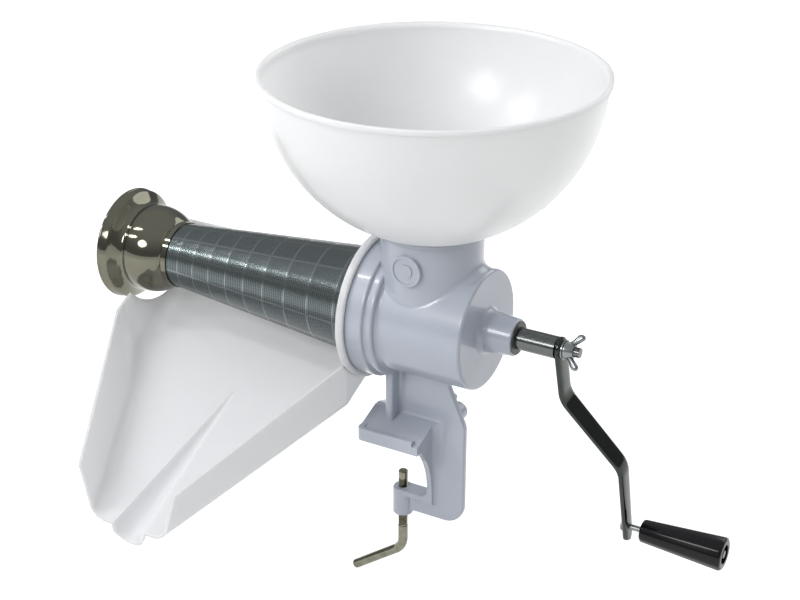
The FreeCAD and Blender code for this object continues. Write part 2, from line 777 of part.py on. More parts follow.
def hopper_bowl():
    centre_z = bowl_rim_height
    inner_radius = bowl_radius - bowl_wall
    outer_ball = Part.makeSphere(bowl_radius, V(hopper_x, 0, centre_z))
    inner_ball = Part.makeSphere(inner_radius, V(hopper_x, 0, centre_z))
    bowl = outer_ball.cut(inner_ball)
    bowl = bowl.common(rod_z(hopper_x, 0, centre_z - bowl_radius - 1, centre_z, bowl_radius + 1))
    rim_radius = bowl_radius + bowl_rim_width
    rim_foot = centre_z - bowl_rim_depth
    rim = rod_z(hopper_x, 0, rim_foot, centre_z, rim_radius)
    rim = rim.cut(rod_z(hopper_x, 0, rim_foot - 1, centre_z + 1, bowl_radius - bowl_wall / 2))
    rim = round_edges(rim, bowl_rim_width * 0.7, lambda e: edge_is_circle(e, Z_AXIS, rim_radius))
    spigot_radius = neck_bore_radius - loose_gap
    joint_z = centre_z - math.sqrt(inner_radius ** 2 - spigot_radius ** 2)
    spigot = rod_z(hopper_x, 0, neck_top - spigot_length, joint_z, spigot_radius)
    throat = rod_z(hopper_x, 0, neck_top - spigot_length - 1, joint_z + 2 * bowl_wall,
                   spigot_radius - bowl_wall)
    body = bowl.fuse([rim, spigot]).cut(throat)
    # the bowl sits on the collar, so nothing of it lies lower than the collar outside the spigot
    seat = rod_z(hopper_x, 0, 0, neck_top, 2 * bowl_radius)
    seat = seat.cut(rod_z(hopper_x, 0, 0, neck_top, spigot_radius))
    return body.cut(seat).removeSplitter()


# Shaft and auger

thrust_x = end_wall_x - thrust_thickness
auger_start_x = thrust_x
auger_end_x = screen_x(screen_length) + auger_tip_gap


def drive_shaft():
    shaft = rod_x(auger_start_x - shaft_stub, arm_x, shaft_radius)
    half = tang_side / 2
    tang = block(arm_x, arm_x + arm_thickness, -half, half, axis_height - half, axis_height + half)
    tang = turn_about_axis(tang, crank_turn)
    stud = rod_x(arm_x + arm_thickness, arm_x + arm_thickness + stud_length, stud_radius)
    pin_hole_x = auger_start_x - shaft_stub / 2
    hole = Part.makeCylinder(drive_pin_radius, 4 * shaft_radius,
                             V(pin_hole_x, -2 * shaft_radius, axis_height), Y_AXIS)
    return shaft.fuse([tang, stud]).cut(hole)


def thrust_washer():
    return tube_x(thrust_x, end_wall_x, thrust_radius, shaft_radius + washer_gap)


def drive_pin():
    reach = auger_core_radius - pin_sink
    pin_x = auger_start_x - shaft_stub / 2
    return Part.makeCylinder(drive_pin_radius, 2 * reach, V(pin_x, -reach, axis_height), Y_AXIS)


def flight(x0, radius0, x1, radius1, core0, core1):
    """One screw blade from x0 down to x1, with its outer radius changing evenly."""
    length = x0 - x1
    turns = length / auger_pitch
    steps_per_turn = 4
    count = max(2, int(round(turns * steps_per_turn)) + 1)
    half = auger_flight_thickness / 2
    sections = []
    for number in range(count + 1):
        share = number / count
        angle = 2 * math.pi * turns * share
        x = x0 - half - (length - 2 * half) * share
        outer = radius0 + (radius1 - radius0) * share
        inner = core0 + (core1 - core0) * share - auger_root_sink
        sections.append((x, angle, outer, inner))
    return sections, half


def blade(x0, radius0, x1, radius1, core0, core1):
    sections, half = flight(x0, radius0, x1, radius1, core0, core1)

    def point(x, angle, radius):
        return V(x, radius * math.sin(angle), axis_height + radius * math.cos(angle))
    curves = []
    for side in (-half, half):
        for which in (3, 2):
            curve = Part.BSplineCurve()
            fine = []
            for number in range(len(sections) - 1):
                here, there = sections[number], sections[number + 1]
                for part_step in range(4):
                    mix = part_step / 4
                    values = [a + (b - a) * mix for a, b in zip(here, there)]
                    fine.append(point(values[0] + side, values[1], values[which]))
            last = sections[-1]
            fine.append(point(last[0] + side, last[1], last[which]))
            curve.interpolate(fine)
            curves.append(curve.toShape())
    inner_near, outer_near, inner_far, outer_far = curves
    faces = [Part.makeRuledSurface(inner_near, outer_near), Part.makeRuledSurface(inner_far, outer_far),
             Part.makeRuledSurface(inner_near, inner_far), Part.makeRuledSurface(outer_near, outer_far)]
    for end in (0, -1):
        x, angle, outer, inner = sections[end]
        corners = [point(x - half, angle, inner), point(x - half, angle, outer),
                   point(x + half, angle, outer), point(x + half, angle, inner)]
        faces.append(Part.Face(polygon(corners)))
    shell = Part.makeShell(faces)
    shell.sewShape()
    solid = Part.makeSolid(shell)
    if solid.Volume < 0:
        solid.reverse()
    return solid


def auger():
    """Feed screw in the barrel and tapered screw in the screen, moulded in one piece."""
    screen_start = screen_x(0)
    core = turned([(auger_start_x, 0), (auger_start_x, auger_core_radius), (screen_start, auger_core_radius),
                   (auger_end_x, auger_tip_core_radius), (auger_end_x, 0)])
    feed = blade(auger_start_x - auger_flight_thickness / 2, auger_flight_radius,
                 screen_start + 1, auger_flight_radius, auger_core_radius, auger_core_radius)
    end_distance = screen_start - auger_end_x
    big = screen_big_radius - screen_sheet - auger_flight_gap
    small = screen_radius_at(end_distance) - screen_sheet - auger_flight_gap
    press = blade(screen_start - 1, big, auger_end_x + 1, small, auger_core_radius, auger_tip_core_radius)
    body = core.fuse([feed, press])
    socket = rod_x(auger_start_x - shaft_stub - 1, auger_start_x + 1, shaft_radius)
    return body.cut([socket, drive_pin()])


# Crank

def arm_path():
    """Middle line of the arm as (x, distance below the shaft axis)."""
    middle = arm_x + arm_thickness / 2
    top = -arm_top_width / 2
    return [(middle, top), (middle, arm_bend_one), (middle + arm_offset, arm_bend_two),
            (middle + arm_offset, arm_end)]


def offset_line(points, distance):
    """The same line moved sideways, with its corners kept sharp."""
    moved = []
    for number, (x, d) in enumerate(points):
        before = points[max(number - 1, 0)]
        after = points[min(number + 1, len(points) - 1)]
        first = V(x - before[0], d - before[1], 0) if number else V(after[0] - x, after[1] - d, 0)
        second = V(after[0] - x, after[1] - d, 0) if number < len(points) - 1 else first
        first.normalize()
        second = V(second.x, second.y, 0)
        second.normalize()
        normal = V(first.y + second.y, -first.x - second.x, 0)
        normal.normalize()
        scale = distance / normal.dot(V(first.y, -first.x, 0))
        moved.append((x + normal.x * scale, d + normal.y * scale))
    return moved


def crank_arm():
    """Strip bent twice, narrower at the grip, with a round end at both ends."""
    path = arm_path()
    near = offset_line(path, -arm_thickness / 2)
    far = offset_line(path, arm_thickness / 2)
    outline = near + far[::-1]
    half = arm_top_width / 2
    strip = Part.Face(polygon([V(x, -half, axis_height - d) for x, d in outline]))
    strip = strip.extrude(V(0, arm_top_width, 0))

    def is_bend(edge):
        if not edge_runs_along(edge, Y_AXIS):
            return False
        below = axis_height - edge_middle(edge).z
        return 0 < below < arm_end - 1
    strip = round_edges(strip, arm_bend_radius, is_bend)
    end_half = arm_end_width / 2
    end_z = axis_height - arm_end + end_half
    x0 = arm_x - arm_top_width
    width = arm_offset + 3 * arm_top_width
    front = [V(x0, -half, axis_height), V(x0, half, axis_height),
             V(x0, end_half, end_z), V(x0, -end_half, end_z)]
    keep = Part.Face(polygon(front)).extrude(V(width, 0, 0))
    keep = keep.fuse([Part.makeCylinder(half, width, V(x0, 0, axis_height), X_AXIS),
                      Part.makeCylinder(end_half, width, V(x0, 0, end_z), X_AXIS)])
    arm = strip.common(keep)
    hole_half = tang_side / 2 + tang_gap
    hole = block(arm_x - 1, arm_x + arm_thickness + 1, -hole_half, hole_half,
                 axis_height - hole_half, axis_height + hole_half)
    pin_hole = Part.makeCylinder(pin_radius, width, V(x0, 0, axis_height - crank_radius), X_AXIS)
    arm = arm.cut([hole, pin_hole]).removeSplitter()
    return turn_about_axis(arm, crank_turn)


arm_front_x = arm_x + arm_thickness
grip_arm_front_x = arm_front_x + arm_offset
grip_start_x = grip_arm_front_x + pin_neck_length


def crank_washer():
    return tube_x(arm_front_x, arm_front_x + washer_thickness, washer_radius, stud_radius + washer_gap)


def wing_nut():
    """Round hub with two flat wings whose tips stand out and forward."""
    foot = arm_front_x + washer_thickness
    hub = turned([(foot, 0), (foot, nut_hub_root_radius), (foot + nut_hub_height, nut_hub_top_radius),
                  (foot + nut_hub_height, 0)])
    half_span = wing_span / 2
    root_low = foot + wing_thickness / 2
    root_high = foot + nut_hub_height - wing_thickness / 3
    wings = []
    for sign in (-1, 1):
        outline = [V(root_low, 0, axis_height),
                   V(root_low, 0, axis_height + sign * (nut_hub_root_radius - wing_round / 4)),
                   V(foot + wing_reach * 0.55, 0, axis_height + sign * half_span),
                   V(foot + wing_reach, 0, axis_height + sign * half_span),
                   V(foot + wing_reach, 0, axis_height + sign * (half_span - 2 * wing_round + 0.5)),
                   V(root_high, 0, axis_height + sign * nut_hub_top_radius / 2)]
        wing = Part.Face(polygon(outline)).extrude(V(0, wing_thickness, 0))
        wing.translate(V(0, -wing_thickness / 2, 0))
        wing = round_edges(wing, wing_round, lambda e: edge_runs_along(e, Y_AXIS)
                           and abs(edge_middle(e).z - axis_height) > half_span * 0.6)
        wings.append(wing)
    nut = hub.fuse(wings)
    nut = nut.cut(rod_x(foot - 1, foot + wing_reach + 1, stud_radius + running_gap))
    return turn_about_axis(nut.removeSplitter(), crank_turn + wing_turn)


def at_grip(shape):
    """Move a piece made round the barrel axis out to the grip's axis."""
    moved = shape.copy()
    moved.translate(V(0, 0, -crank_radius))
    return turn_about_axis(moved, crank_turn)


def grip_seat_x():
    return grip_start_x + grip_length - grip_recess_depth


def grip_pin():
    """Pin with a riveted head behind the arm and a shoulder that the nut is tightened on."""
    back = arm_x + arm_offset
    pin = rod_x(back, grip_seat_x() + grip_washer_thickness + grip_nut_height, pin_radius)
    head = rod_x(back - pin_head_thickness, back, pin_head_radius)
    head = round_edges(head, pin_head_round, lambda e: edge_is_circle(e, X_AXIS)
                       and edge_middle(e).x < back - pin_head_thickness / 2)
    return at_grip(pin.fuse(head))


def grip():
    """Faceted grip that widens outwards and turns on its pin."""
    sections = []
    for x, radius in ((grip_start_x, grip_inner_radius), (grip_start_x + grip_length, grip_outer_radius)):
        corners = []
        for number in range(grip_facets):
            angle = 2 * math.pi * number / grip_facets
            corners.append(V(x, radius * math.sin(angle), axis_height + radius * math.cos(angle)))
        sections.append(polygon(corners))
    body = Part.makeLoft(sections, True, True)
    body = round_edges(body, grip_end_round, lambda e: abs(edge_middle(e).x - grip_start_x) < 0.01
                       or abs(edge_middle(e).x - grip_start_x - grip_length) < 0.01)
    bore = rod_x(grip_start_x - 1, grip_start_x + grip_length, pin_radius + grip_bore_gap)
    recess = rod_x(grip_seat_x(), grip_start_x + grip_length + 1, grip_recess_radius)
    return at_grip(body.cut([bore, recess]))


def grip_washer():
    x0 = grip_seat_x()
    return at_grip(tube_x(x0, x0 + grip_washer_thickness, grip_recess_radius - 1, pin_radius + washer_gap))


def grip_nut():
    x0 = grip_seat_x() + grip_washer_thickness
    nut = turned([(x0, 0), (x0, grip_nut_radius), (x0 + grip_nut_height * 0.6, grip_nut_radius),
                  (x0 + grip_nut_height + 1, grip_nut_radius * 0.55), (x0 + grip_nut_height + 1, 0)])
    return at_grip(nut.cut(rod_x(x0 - 1, x0 + grip_nut_height, pin_radius)))


# Clamp screw

def clamp_tip():
    """Tip that swivels on the screw's end, with a short pin that goes into it."""
    tip = rod_z(0, 0, screw_tip_z - tip_height, screw_tip_z, screw_radius)
    pin = rod_z(0, 0, screw_tip_z - tip_height - tip_pin_length, screw_tip_z - tip_height, tip_pin_radius)
    return chamfer_edges(tip, tip_chamfer, lambda e: edge_middle(e).z > screw_tip_z - 0.1).fuse(pin)


def clamp_screw():
    """Threaded rod with its lower end bent into a handle, in one piece."""
    top = screw_tip_z - tip_height
    thread = rod_z(0, 0, thread_foot_z, top, screw_radius)
    socket = rod_z(0, 0, top - tip_pin_length - loose_gap, top + 1, tip_pin_radius + running_gap)
    corner = V(0, 0, rod_bend_z)
    end = V(handle_reach_x, 0, handle_reach_z)
    out = end - corner
    out.normalize()
    down = V(0, 0, -1)
    half_turn = math.acos(down.dot(out)) / 2
    run = rod_bend_radius * math.tan(half_turn)
    first = corner - down * run
    last = corner + out * run
    inward = out - down
    inward.normalize()
    middle = corner + inward * (rod_bend_radius / math.cos(half_turn) - rod_bend_radius)
    path = Part.Wire([Part.LineSegment(V(0, 0, thread_foot_z), first).toShape(),
                      Part.Arc(first, middle, last).toShape(), Part.LineSegment(last, end).toShape()])
    section = Part.Wire(Part.Circle(V(0, 0, thread_foot_z), Z_AXIS, rod_radius).toShape())
    rod = path.makePipeShell([section], True, False)
    rod = round_edges(rod, rod_radius * 0.4, lambda e: (edge_middle(e) - end).Length < rod_radius * 1.2
                      and isinstance(e.Curve, Part.Circle))
    return thread.fuse(rod).cut(socket)


pieces = {
    "housing": housing,
    "shaft_bush": shaft_bush,
    "shaft_seal": shaft_seal,
    "screen_gasket": screen_gasket,
    "screen_cone": screen_cone,
    "screen_end_band": screen_end_band,
    "outlet_bell": outlet_bell,
    "bell_lip": bell_lip,
    "chute_ring": chute_ring,
    "chute": chute,
    "hopper_bowl": hopper_bowl,
    "drive_shaft": drive_shaft,
    "thrust_washer": thrust_washer,
    "drive_pin": drive_pin,
    "auger": auger,
    "crank_arm": crank_arm,
    "crank_washer": crank_washer,
    "wing_nut": wing_nut,
    "grip_pin": grip_pin,
    "grip": grip,
    "grip_washer": grip_washer,
    "grip_nut": grip_nut,
    "clamp_tip": clamp_tip,
    "clamp_screw": clamp_screw,
}

os.makedirs("parts", exist_ok=True)
for name, make in pieces.items():
    shape = make()
    solids = shape.Solids
    box = shape.BoundBox
    print(name, "solids", len(solids), "valid", shape.isValid(), "volume cm3", round(shape.Volume / 1000, 2),
          "box", [round(v, 1) for v in (box.XMin, box.YMin, box.ZMin, box.XMax, box.YMax, box.ZMax)])
    shape = solids[0] if len(solids) == 1 else Part.makeCompound(solids)
    shape.exportStep("parts/" + name + ".step")
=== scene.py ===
# %% [markdown]
# # A tomato strainer with a crank
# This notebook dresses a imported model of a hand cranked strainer. Its rigid pieces already exist as
# solids, and those that have their final form only get a finish. The bowl, the tray's ring, the screen,
# the bell, the arm, the wing nut, the grip and the clamp screw are modelled again with bmesh operators,
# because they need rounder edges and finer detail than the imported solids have. All lengths are in
# metres, with Z up and X along the barrel.

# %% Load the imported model
import math
import bmesh
import bpy
from mathutils import Matrix, Vector


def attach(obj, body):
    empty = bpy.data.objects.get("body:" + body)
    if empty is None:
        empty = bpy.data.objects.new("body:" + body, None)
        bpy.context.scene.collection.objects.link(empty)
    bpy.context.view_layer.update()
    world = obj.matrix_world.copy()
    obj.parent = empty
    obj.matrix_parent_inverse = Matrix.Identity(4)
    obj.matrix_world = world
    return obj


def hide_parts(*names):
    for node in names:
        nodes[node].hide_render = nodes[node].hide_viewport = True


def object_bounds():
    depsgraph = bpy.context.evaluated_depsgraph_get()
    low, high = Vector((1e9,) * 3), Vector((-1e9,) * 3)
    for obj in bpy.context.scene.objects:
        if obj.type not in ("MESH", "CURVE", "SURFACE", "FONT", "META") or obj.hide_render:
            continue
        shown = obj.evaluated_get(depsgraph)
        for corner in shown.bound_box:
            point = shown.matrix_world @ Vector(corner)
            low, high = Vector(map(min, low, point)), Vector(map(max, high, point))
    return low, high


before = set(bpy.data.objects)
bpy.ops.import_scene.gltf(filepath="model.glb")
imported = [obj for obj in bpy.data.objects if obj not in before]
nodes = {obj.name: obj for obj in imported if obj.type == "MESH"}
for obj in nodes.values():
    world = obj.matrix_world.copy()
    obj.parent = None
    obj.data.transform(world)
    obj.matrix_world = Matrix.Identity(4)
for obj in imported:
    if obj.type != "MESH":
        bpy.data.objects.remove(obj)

cad_low, cad_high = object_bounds()
print("size of the model in mm:", [round(1000 * (b - a)) for a, b in zip(cad_low, cad_high)])

# %% [markdown]
# ## Camera
# The photograph was taken from above and from the front right, with a long lens. A camera could be set
# by eye, but then no length could be compared with the photograph. So its place and its lens were found
# by fitting the rim of the bowl, the ends of the barrel and the flanges to it.

# %% The camera
EYE = Vector((0.5802, -1.0395, 0.6917))
AHEAD = Vector((-0.4416, 0.7861, -0.4326)).normalized()
ROLL = math.radians(0.17)
LENS = 73.13
SENSOR_WIDTH = 36.0
FARTHEST_SEEN = 80.0


def place_camera():
    """Put the camera at the photograph's place and make it the scene's camera."""
    lens = bpy.data.cameras.new("camera")
    lens.lens = LENS
    lens.sensor_width = SENSOR_WIDTH
    lens.clip_end = FARTHEST_SEEN
    camera = bpy.data.objects.new("camera", lens)
    bpy.context.scene.collection.objects.link(camera)
    right = AHEAD.cross(Vector((0, 0, 1))).normalized()
    up = right.cross(AHEAD)
    turn = Matrix((right, up, -AHEAD)).transposed()
    camera.matrix_world = Matrix.Translation(EYE) @ turn.to_4x4() @ Matrix.Rotation(ROLL, 4, "Z")
    bpy.context.scene.camera = camera


place_camera()
print("camera looks along", [round(v, 3) for v in AHEAD])

# %% [markdown]
# ## Writing finishes as sums
# A finish in Blender is a net of nodes. Its arithmetic could be made node by node, but it is easier to
# read as ordinary sums. So the class Wire stands for one number in a net, and +, -, * and / on it add
# the Math nodes.

# %% Wires
class Wire:
    """One number in a net; arithmetic on it adds Math nodes."""

    def __init__(self, net, socket):
        self.net = net
        self.socket = socket

    def maths(self, operation, *others):
        return self.net.maths(operation, self, *others)

    def __add__(self, other):
        return self.maths("ADD", other)

    def __radd__(self, other):
        return self.net.maths("ADD", other, self)

    def __sub__(self, other):
        return self.maths("SUBTRACT", other)

    def __rsub__(self, other):
        return self.net.maths("SUBTRACT", other, self)

    def __mul__(self, other):
        return self.maths("MULTIPLY", other)

    def __rmul__(self, other):
        return self.net.maths("MULTIPLY", other, self)

    def __truediv__(self, other):
        return self.maths("DIVIDE", other)

    def __rtruediv__(self, other):
        return self.net.maths("DIVIDE", other, self)

    def between(self, low, high):
        """0 below low, 1 above high, and a smooth step from one to the other."""
        node = self.net.node("ShaderNodeMapRange", {"interpolation_type": "SMOOTHSTEP"},
                             {"Value": self, "From Min": low, "From Max": high})
        return Wire(self.net, node.outputs["Result"])


print("numbers in a net can be written as sums")

# %% [markdown]
# ## Nets and finishes
# The finishes of the pieces and the air round them are all nets of nodes. They could each be built by
# hand, but the class Net makes every node in one way, through its method node. The class Finish is a
# net with one main shader, because enamel, metal and plastic differ only in that shader's values.

# %% Nets and finishes
class Net:
    """A tree of nodes, and methods that add nodes to it."""

    def __init__(self, tree):
        self.tree = tree

    def plug(self, socket, value):
        if isinstance(value, Wire):
            value = value.socket
        if isinstance(value, bpy.types.NodeSocket):
            self.tree.links.new(value, socket)
        else:
            socket.default_value = value

    def node(self, kind, settings=None, inputs=None):
        node = self.tree.nodes.new(kind)
        for key, value in (settings or {}).items():
            setattr(node, key, value)
        for key, value in (inputs or {}).items():
            self.plug(node.inputs[key], value)
        return node

    def maths(self, operation, *values):
        node = self.node("ShaderNodeMath", {"operation": operation}, dict(enumerate(values)))
        return Wire(self, node.outputs[0])

    def coordinates(self, kind):
        return self.node("ShaderNodeTexCoord").outputs[kind]

    def axes(self, where):
        node = self.node("ShaderNodeSeparateXYZ", {}, {0: where})
        return [Wire(self, socket) for socket in node.outputs]


class Finish(Net):
    """A material whose net ends in one main shader."""

    def __init__(self, name, colour, roughness, metallic=0.0, **fixed):
        self.material = bpy.data.materials.new(name)
        self.material.use_nodes = True
        super().__init__(self.material.node_tree)
        self.shader = self.tree.nodes["Principled BSDF"]
        self.set("Base Color", (*colour, 1.0))
        self.set("Roughness", roughness)
        self.set("Metallic", metallic)
        for socket, value in fixed.items():
            self.set(socket.replace("_", " "), value)

    def set(self, socket, value):
        self.plug(self.shader.inputs[socket], value)

    def measured_from(self, point):
        """Object coordinates, measured from a point."""
        mapping = self.node("ShaderNodeMapping", {"vector_type": "TEXTURE"},
                            {"Vector": self.coordinates("Object"), "Location": point})
        return mapping.outputs[0]

    def noise(self, scale, detail):
        node = self.node("ShaderNodeTexNoise", {},
                         {"Vector": self.coordinates("Object"), "Scale": scale, "Detail": detail})
        return Wire(self, node.outputs[0])

    def mix(self, amount, first, second):
        """A colour between two others."""
        node = self.node("ShaderNodeMix", {"data_type": "RGBA"}, {"Factor": amount})
        for socket, colour in zip([s for s in node.inputs if s.type == "RGBA"], (first, second)):
            self.plug(socket, (*colour, 1.0) if isinstance(colour, tuple) else colour)
        return [s for s in node.outputs if s.type == "RGBA"][0]

    def bump(self, height, strength, distance):
        node = self.node("ShaderNodeBump", {},
                         {"Height": height, "Strength": strength, "Distance": distance})
        self.set("Normal", node.outputs[0])


print("finishes are ready to be made")

# %% [markdown]
# ## The enamel
# The housing is cast aluminium with a thick glossy enamel in a pale blue grey. Enamel flows a little
# before it sets, so its surface has long soft waves and a very fine grain, and its gloss stays even.
# The waves could be modelled, but they are only a fraction of a millimetre deep, so a bump makes them,
# and a clear coat above them gives the gloss.

# %% Enamel on the casting
ENAMEL_DULL = (0.43, 0.465, 0.53)
ENAMEL_BRIGHT = (0.465, 0.495, 0.56)


def enamel_finish():
    finish = Finish("grey_enamel", (0.45, 0.48, 0.55), 0.3, Coat_Weight=0.6, Coat_Roughness=0.1)
    cloud = finish.noise(14.0, 2.0)
    finish.set("Base Color", finish.mix(cloud.between(0.35, 0.7), ENAMEL_DULL, ENAMEL_BRIGHT))
    grain = finish.noise(300.0, 2.0)
    finish.set("Roughness", 0.27 + grain * 0.08)
    waves = finish.noise(45.0, 2.0)
    finish.bump(waves * 0.8 + grain * 0.05, 0.3, 0.0005)
    return finish.material


enamel = enamel_finish()
print("made", enamel.name)

# %% [markdown]
# ## Metals
# The arm is chromed, the shaft, the bell and the clamp screw are polished steel, and the small hardware
# is zinc plated. Zinc is greyer and has a cloudy grain. Turned steel shows fine rings round its axis.
# Bright metal shows mostly what it reflects, and in the photograph much of that is dark. Dark walls
# could be built round the strainer, but they would shade it too. So the colours here are darker than
# bare steel and chrome really are, and the light stays even.

# %% Chrome, steel and zinc
BELL_RING_WIDTH = 0.0011
SHAFT_RING_WIDTH = 0.0007


def metal_finish(name, colour, roughness, cloud_scale, cloud_depth, bump_depth):
    """Plain metal with a cloudy grain."""
    finish = Finish(name, colour, roughness, 1.0)
    cloud = finish.noise(cloud_scale, 4.0)
    dark = tuple(v * (1 - cloud_depth) for v in colour)
    finish.set("Base Color", finish.mix(cloud.between(0.3, 0.7), dark, colour))
    finish.set("Roughness", roughness * 0.7 + cloud * roughness * 0.6)
    finish.bump(finish.noise(cloud_scale * 9, 2.0), 0.3, bump_depth)
    return finish.material


def turned_finish(name, colour, roughness, ring_width):
    """Polished metal with faint rings round the barrel's axis, left by turning it."""
    finish = Finish(name, colour, roughness, 1.0)
    along = finish.axes(finish.coordinates("Object"))[0]
    rings = (along * (2 * math.pi / ring_width)).maths("SINE") * 0.5 + 0.5
    cloud = finish.noise(30.0, 3.0)
    finish.set("Base Color", finish.mix(cloud, tuple(v * 0.9 for v in colour), colour))
    finish.set("Roughness", roughness + rings * 0.03 + cloud * 0.03)
    finish.bump(rings * 0.3 + finish.noise(90.0, 2.0) * 0.4, 0.2, 0.00008)
    return finish.material


chrome = metal_finish("dark_chrome", (0.05, 0.056, 0.05), 0.12, 60.0, 0.15, 0.00005)
zinc = metal_finish("zinc_plate", (0.25, 0.26, 0.265), 0.26, 120.0, 0.2, 0.00006)
# The screw's yellow tint is a painted warm reflection of its surroundings; its darkness is painted dark
# reflection, as for the other metals.
screw_steel = metal_finish("warm_reflection_steel", (0.24, 0.235, 0.18), 0.14, 150.0, 0.3, 0.00004)
# The bell's yellow-brown tint is a painted warm reflection; its darkness is painted dark reflection, as
# for the other metals.
bell_steel = turned_finish("spun_steel", (0.165, 0.162, 0.125), 0.05, BELL_RING_WIDTH)
shaft_steel = turned_finish("turned_steel", (0.13, 0.14, 0.135), 0.15, SHAFT_RING_WIDTH)
print("made", chrome.name, zinc.name, screw_steel.name, bell_steel.name, shaft_steel.name)

# %% [markdown]
# ## Plastics and rubber
# The bowl and the tray are white polypropylene, which lets some light into it. A plain white would look
# like paint, so their finish scatters light under the surface. The auger is nylon, the grip is hard
# black plastic and the seals are rubber. These let hardly any light in, so a plain finish does for them.

# %% White, black and rubber
def white_finish(name, colour, depth):
    """White plastic that light enters to about the given depth."""
    finish = Finish(name, colour, 0.18, IOR=1.49, Subsurface_Weight=1.0, Subsurface_Scale=depth,
                    Subsurface_Radius=(1.0, 1.0, 0.95))
    cloud = finish.noise(9.0, 3.0)
    milky = tuple(v * 0.965 for v in colour)
    finish.set("Base Color", finish.mix(cloud.between(0.3, 0.75), milky, colour))
    finish.set("Roughness", 0.26 + cloud * 0.06)
    finish.bump(finish.noise(16.0, 2.0), 0.2, 0.0006)
    return finish.material


def plain_finish(name, colour, roughness, grain_scale, bump_depth, gloss=0.5):
    """Plastic or rubber with a fine grain."""
    finish = Finish(name, colour, roughness, Specular_IOR_Level=gloss)
    grain = finish.noise(grain_scale, 4.0)
    finish.set("Base Color", finish.mix(grain, tuple(v * 0.75 for v in colour), colour))
    finish.set("Roughness", roughness * 0.8 + grain * roughness * 0.4)
    finish.bump(grain, 0.4, bump_depth)
    return finish.material


bowl_white = white_finish("bowl_white", (0.90, 0.90, 0.885), 0.018)
tray_white = white_finish("tray_white", (0.77, 0.77, 0.785), 0.014)
nylon = plain_finish("nylon", (0.78, 0.78, 0.74), 0.42, 300.0, 0.0001)
grip_black = plain_finish("black_plastic", (0.005, 0.005, 0.006), 0.13, 200.0, 0.00004, 0.25)
dark_nylon = plain_finish("dark_nylon", (0.05, 0.05, 0.05), 0.4, 300.0, 0.0001)
rubber = plain_finish("black_rubber", (0.03, 0.03, 0.03), 0.6, 800.0, 0.0001)
print("made", bowl_white.name, tray_white.name, nylon.name)
print("made", grip_black.name, dark_nylon.name, rubber.name)

# %% [markdown]
# ## The screen's holes
# The cone is rolled from thin steel that was punched with small holes in patches, with narrow plain
# strips between the patches for strength. Holes in the mesh would take more than a hundred thousand
# faces, so the finish draws them. The pattern is laid out along the barrel and round it, so that the
# patches get narrower towards the small end, as the real ones do.

# %% Punched steel
BARREL_Z = 0.112
AXIS = (0, 0, BARREL_Z)
FIRST_SEAM_X = -0.2228
PATCHES_PER_METRE = 63.2
PATCH_GROWTH = 74.7
PATCHES_ROUND = 12
SEAM_TURN = 5.0 / 360.0
SEAM_EDGE = (0.89, 0.96)
HOLE_PITCH = 0.0019
HOLES_ROUND = 176
HOLE_EDGE = (0.26, 0.44)
# Sheet and seam colours are darker than bare steel: painted dark reflection of the surroundings, as for
# the other metals.
SHEET_COLOUR = (0.155, 0.185, 0.185)
SEAM_COLOUR = (0.27, 0.29, 0.30)
HOLE_COLOUR = (0.012, 0.016, 0.016)


def punched_finish():
    finish = Finish("punched_steel", (0.4, 0.4, 0.4), 0.2, 1.0)
    x, y, z = finish.axes(finish.measured_from(AXIS))
    angle = z.maths("ARCTAN2", y) / (2 * math.pi)
    column = x / HOLE_PITCH
    # every second row of holes is moved by half a hole
    shift = (column.maths("FLOOR") * 0.5).maths("FRACT")
    across = (angle * HOLES_ROUND + shift).maths("FRACT") - 0.5
    length = column.maths("FRACT") - 0.5
    distance = (across * across + length * length).maths("SQRT")
    hole = 1 - distance.between(*HOLE_EDGE)
    # the patches get longer towards the big end
    far = x - FIRST_SEAM_X
    along = far * PATCHES_PER_METRE - far * far * PATCH_GROWTH
    seam_along = (along.maths("FRACT") - 0.5).maths("ABSOLUTE") * 2
    seam_round = (((angle - SEAM_TURN) * PATCHES_ROUND).maths("FRACT") - 0.5).maths("ABSOLUTE") * 2
    plain = seam_along.maths("MAXIMUM", seam_round).between(*SEAM_EDGE)
    hole_depth = hole * (1 - plain)
    sheet = finish.mix(plain, SHEET_COLOUR, SEAM_COLOUR)
    finish.set("Base Color", finish.mix(hole * (1 - plain * 0.45), sheet, HOLE_COLOUR))
    finish.set("Metallic", 1 - hole_depth * 0.8)
    finish.set("Roughness", 0.19 + hole_depth * 0.3)
    # each patch is pressed out a little between its seams, like a pillow
    pillow = (1 - seam_along * seam_along) * (1 - seam_round * seam_round)
    surface = pillow * 0.6 + (1 - hole_depth) * 0.08 + finish.noise(60.0, 2.0) * 0.4
    finish.bump(surface, 0.6, 0.0003)
    return finish.material


punched = punched_finish()
print("made", punched.name)

# %% [markdown]
# ## From a bmesh to a piece
# Each new piece starts as a bmesh. Modifiers could round its edges later, but here each radius is part
# of the outline, so that the sizes stay exact. The helper placed turns a bmesh into an object.

# %% Finishing a piece
DOUBLES_WITHIN = 1e-6


def placed(bm, name, finish):
    """Turn a bmesh into an object with one finish."""
    mesh = bpy.data.meshes.new(name)
    bm.to_mesh(mesh)
    bm.free()
    mesh.materials.append(finish)
    made = bpy.data.objects.new(name, mesh)
    bpy.context.scene.collection.objects.link(made)
    return made


def done(bm, name, body, finish, replaced, sharp=35.0):
    """Finish a bmesh: outward faces, smooth shading up to an angle, and its place in the model."""
    bmesh.ops.remove_doubles(bm, verts=bm.verts, dist=DOUBLES_WITHIN)
    bmesh.ops.recalc_face_normals(bm, faces=bm.faces)
    for edge in bm.edges:
        edge.smooth = not edge.is_manifold or edge.calc_face_angle(0.0) < math.radians(sharp)
    for face in bm.faces:
        face.smooth = True
    piece = placed(bm, name, finish)
    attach(piece, body)
    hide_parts(*replaced)
    print(name, "has", len(piece.data.polygons), "faces")


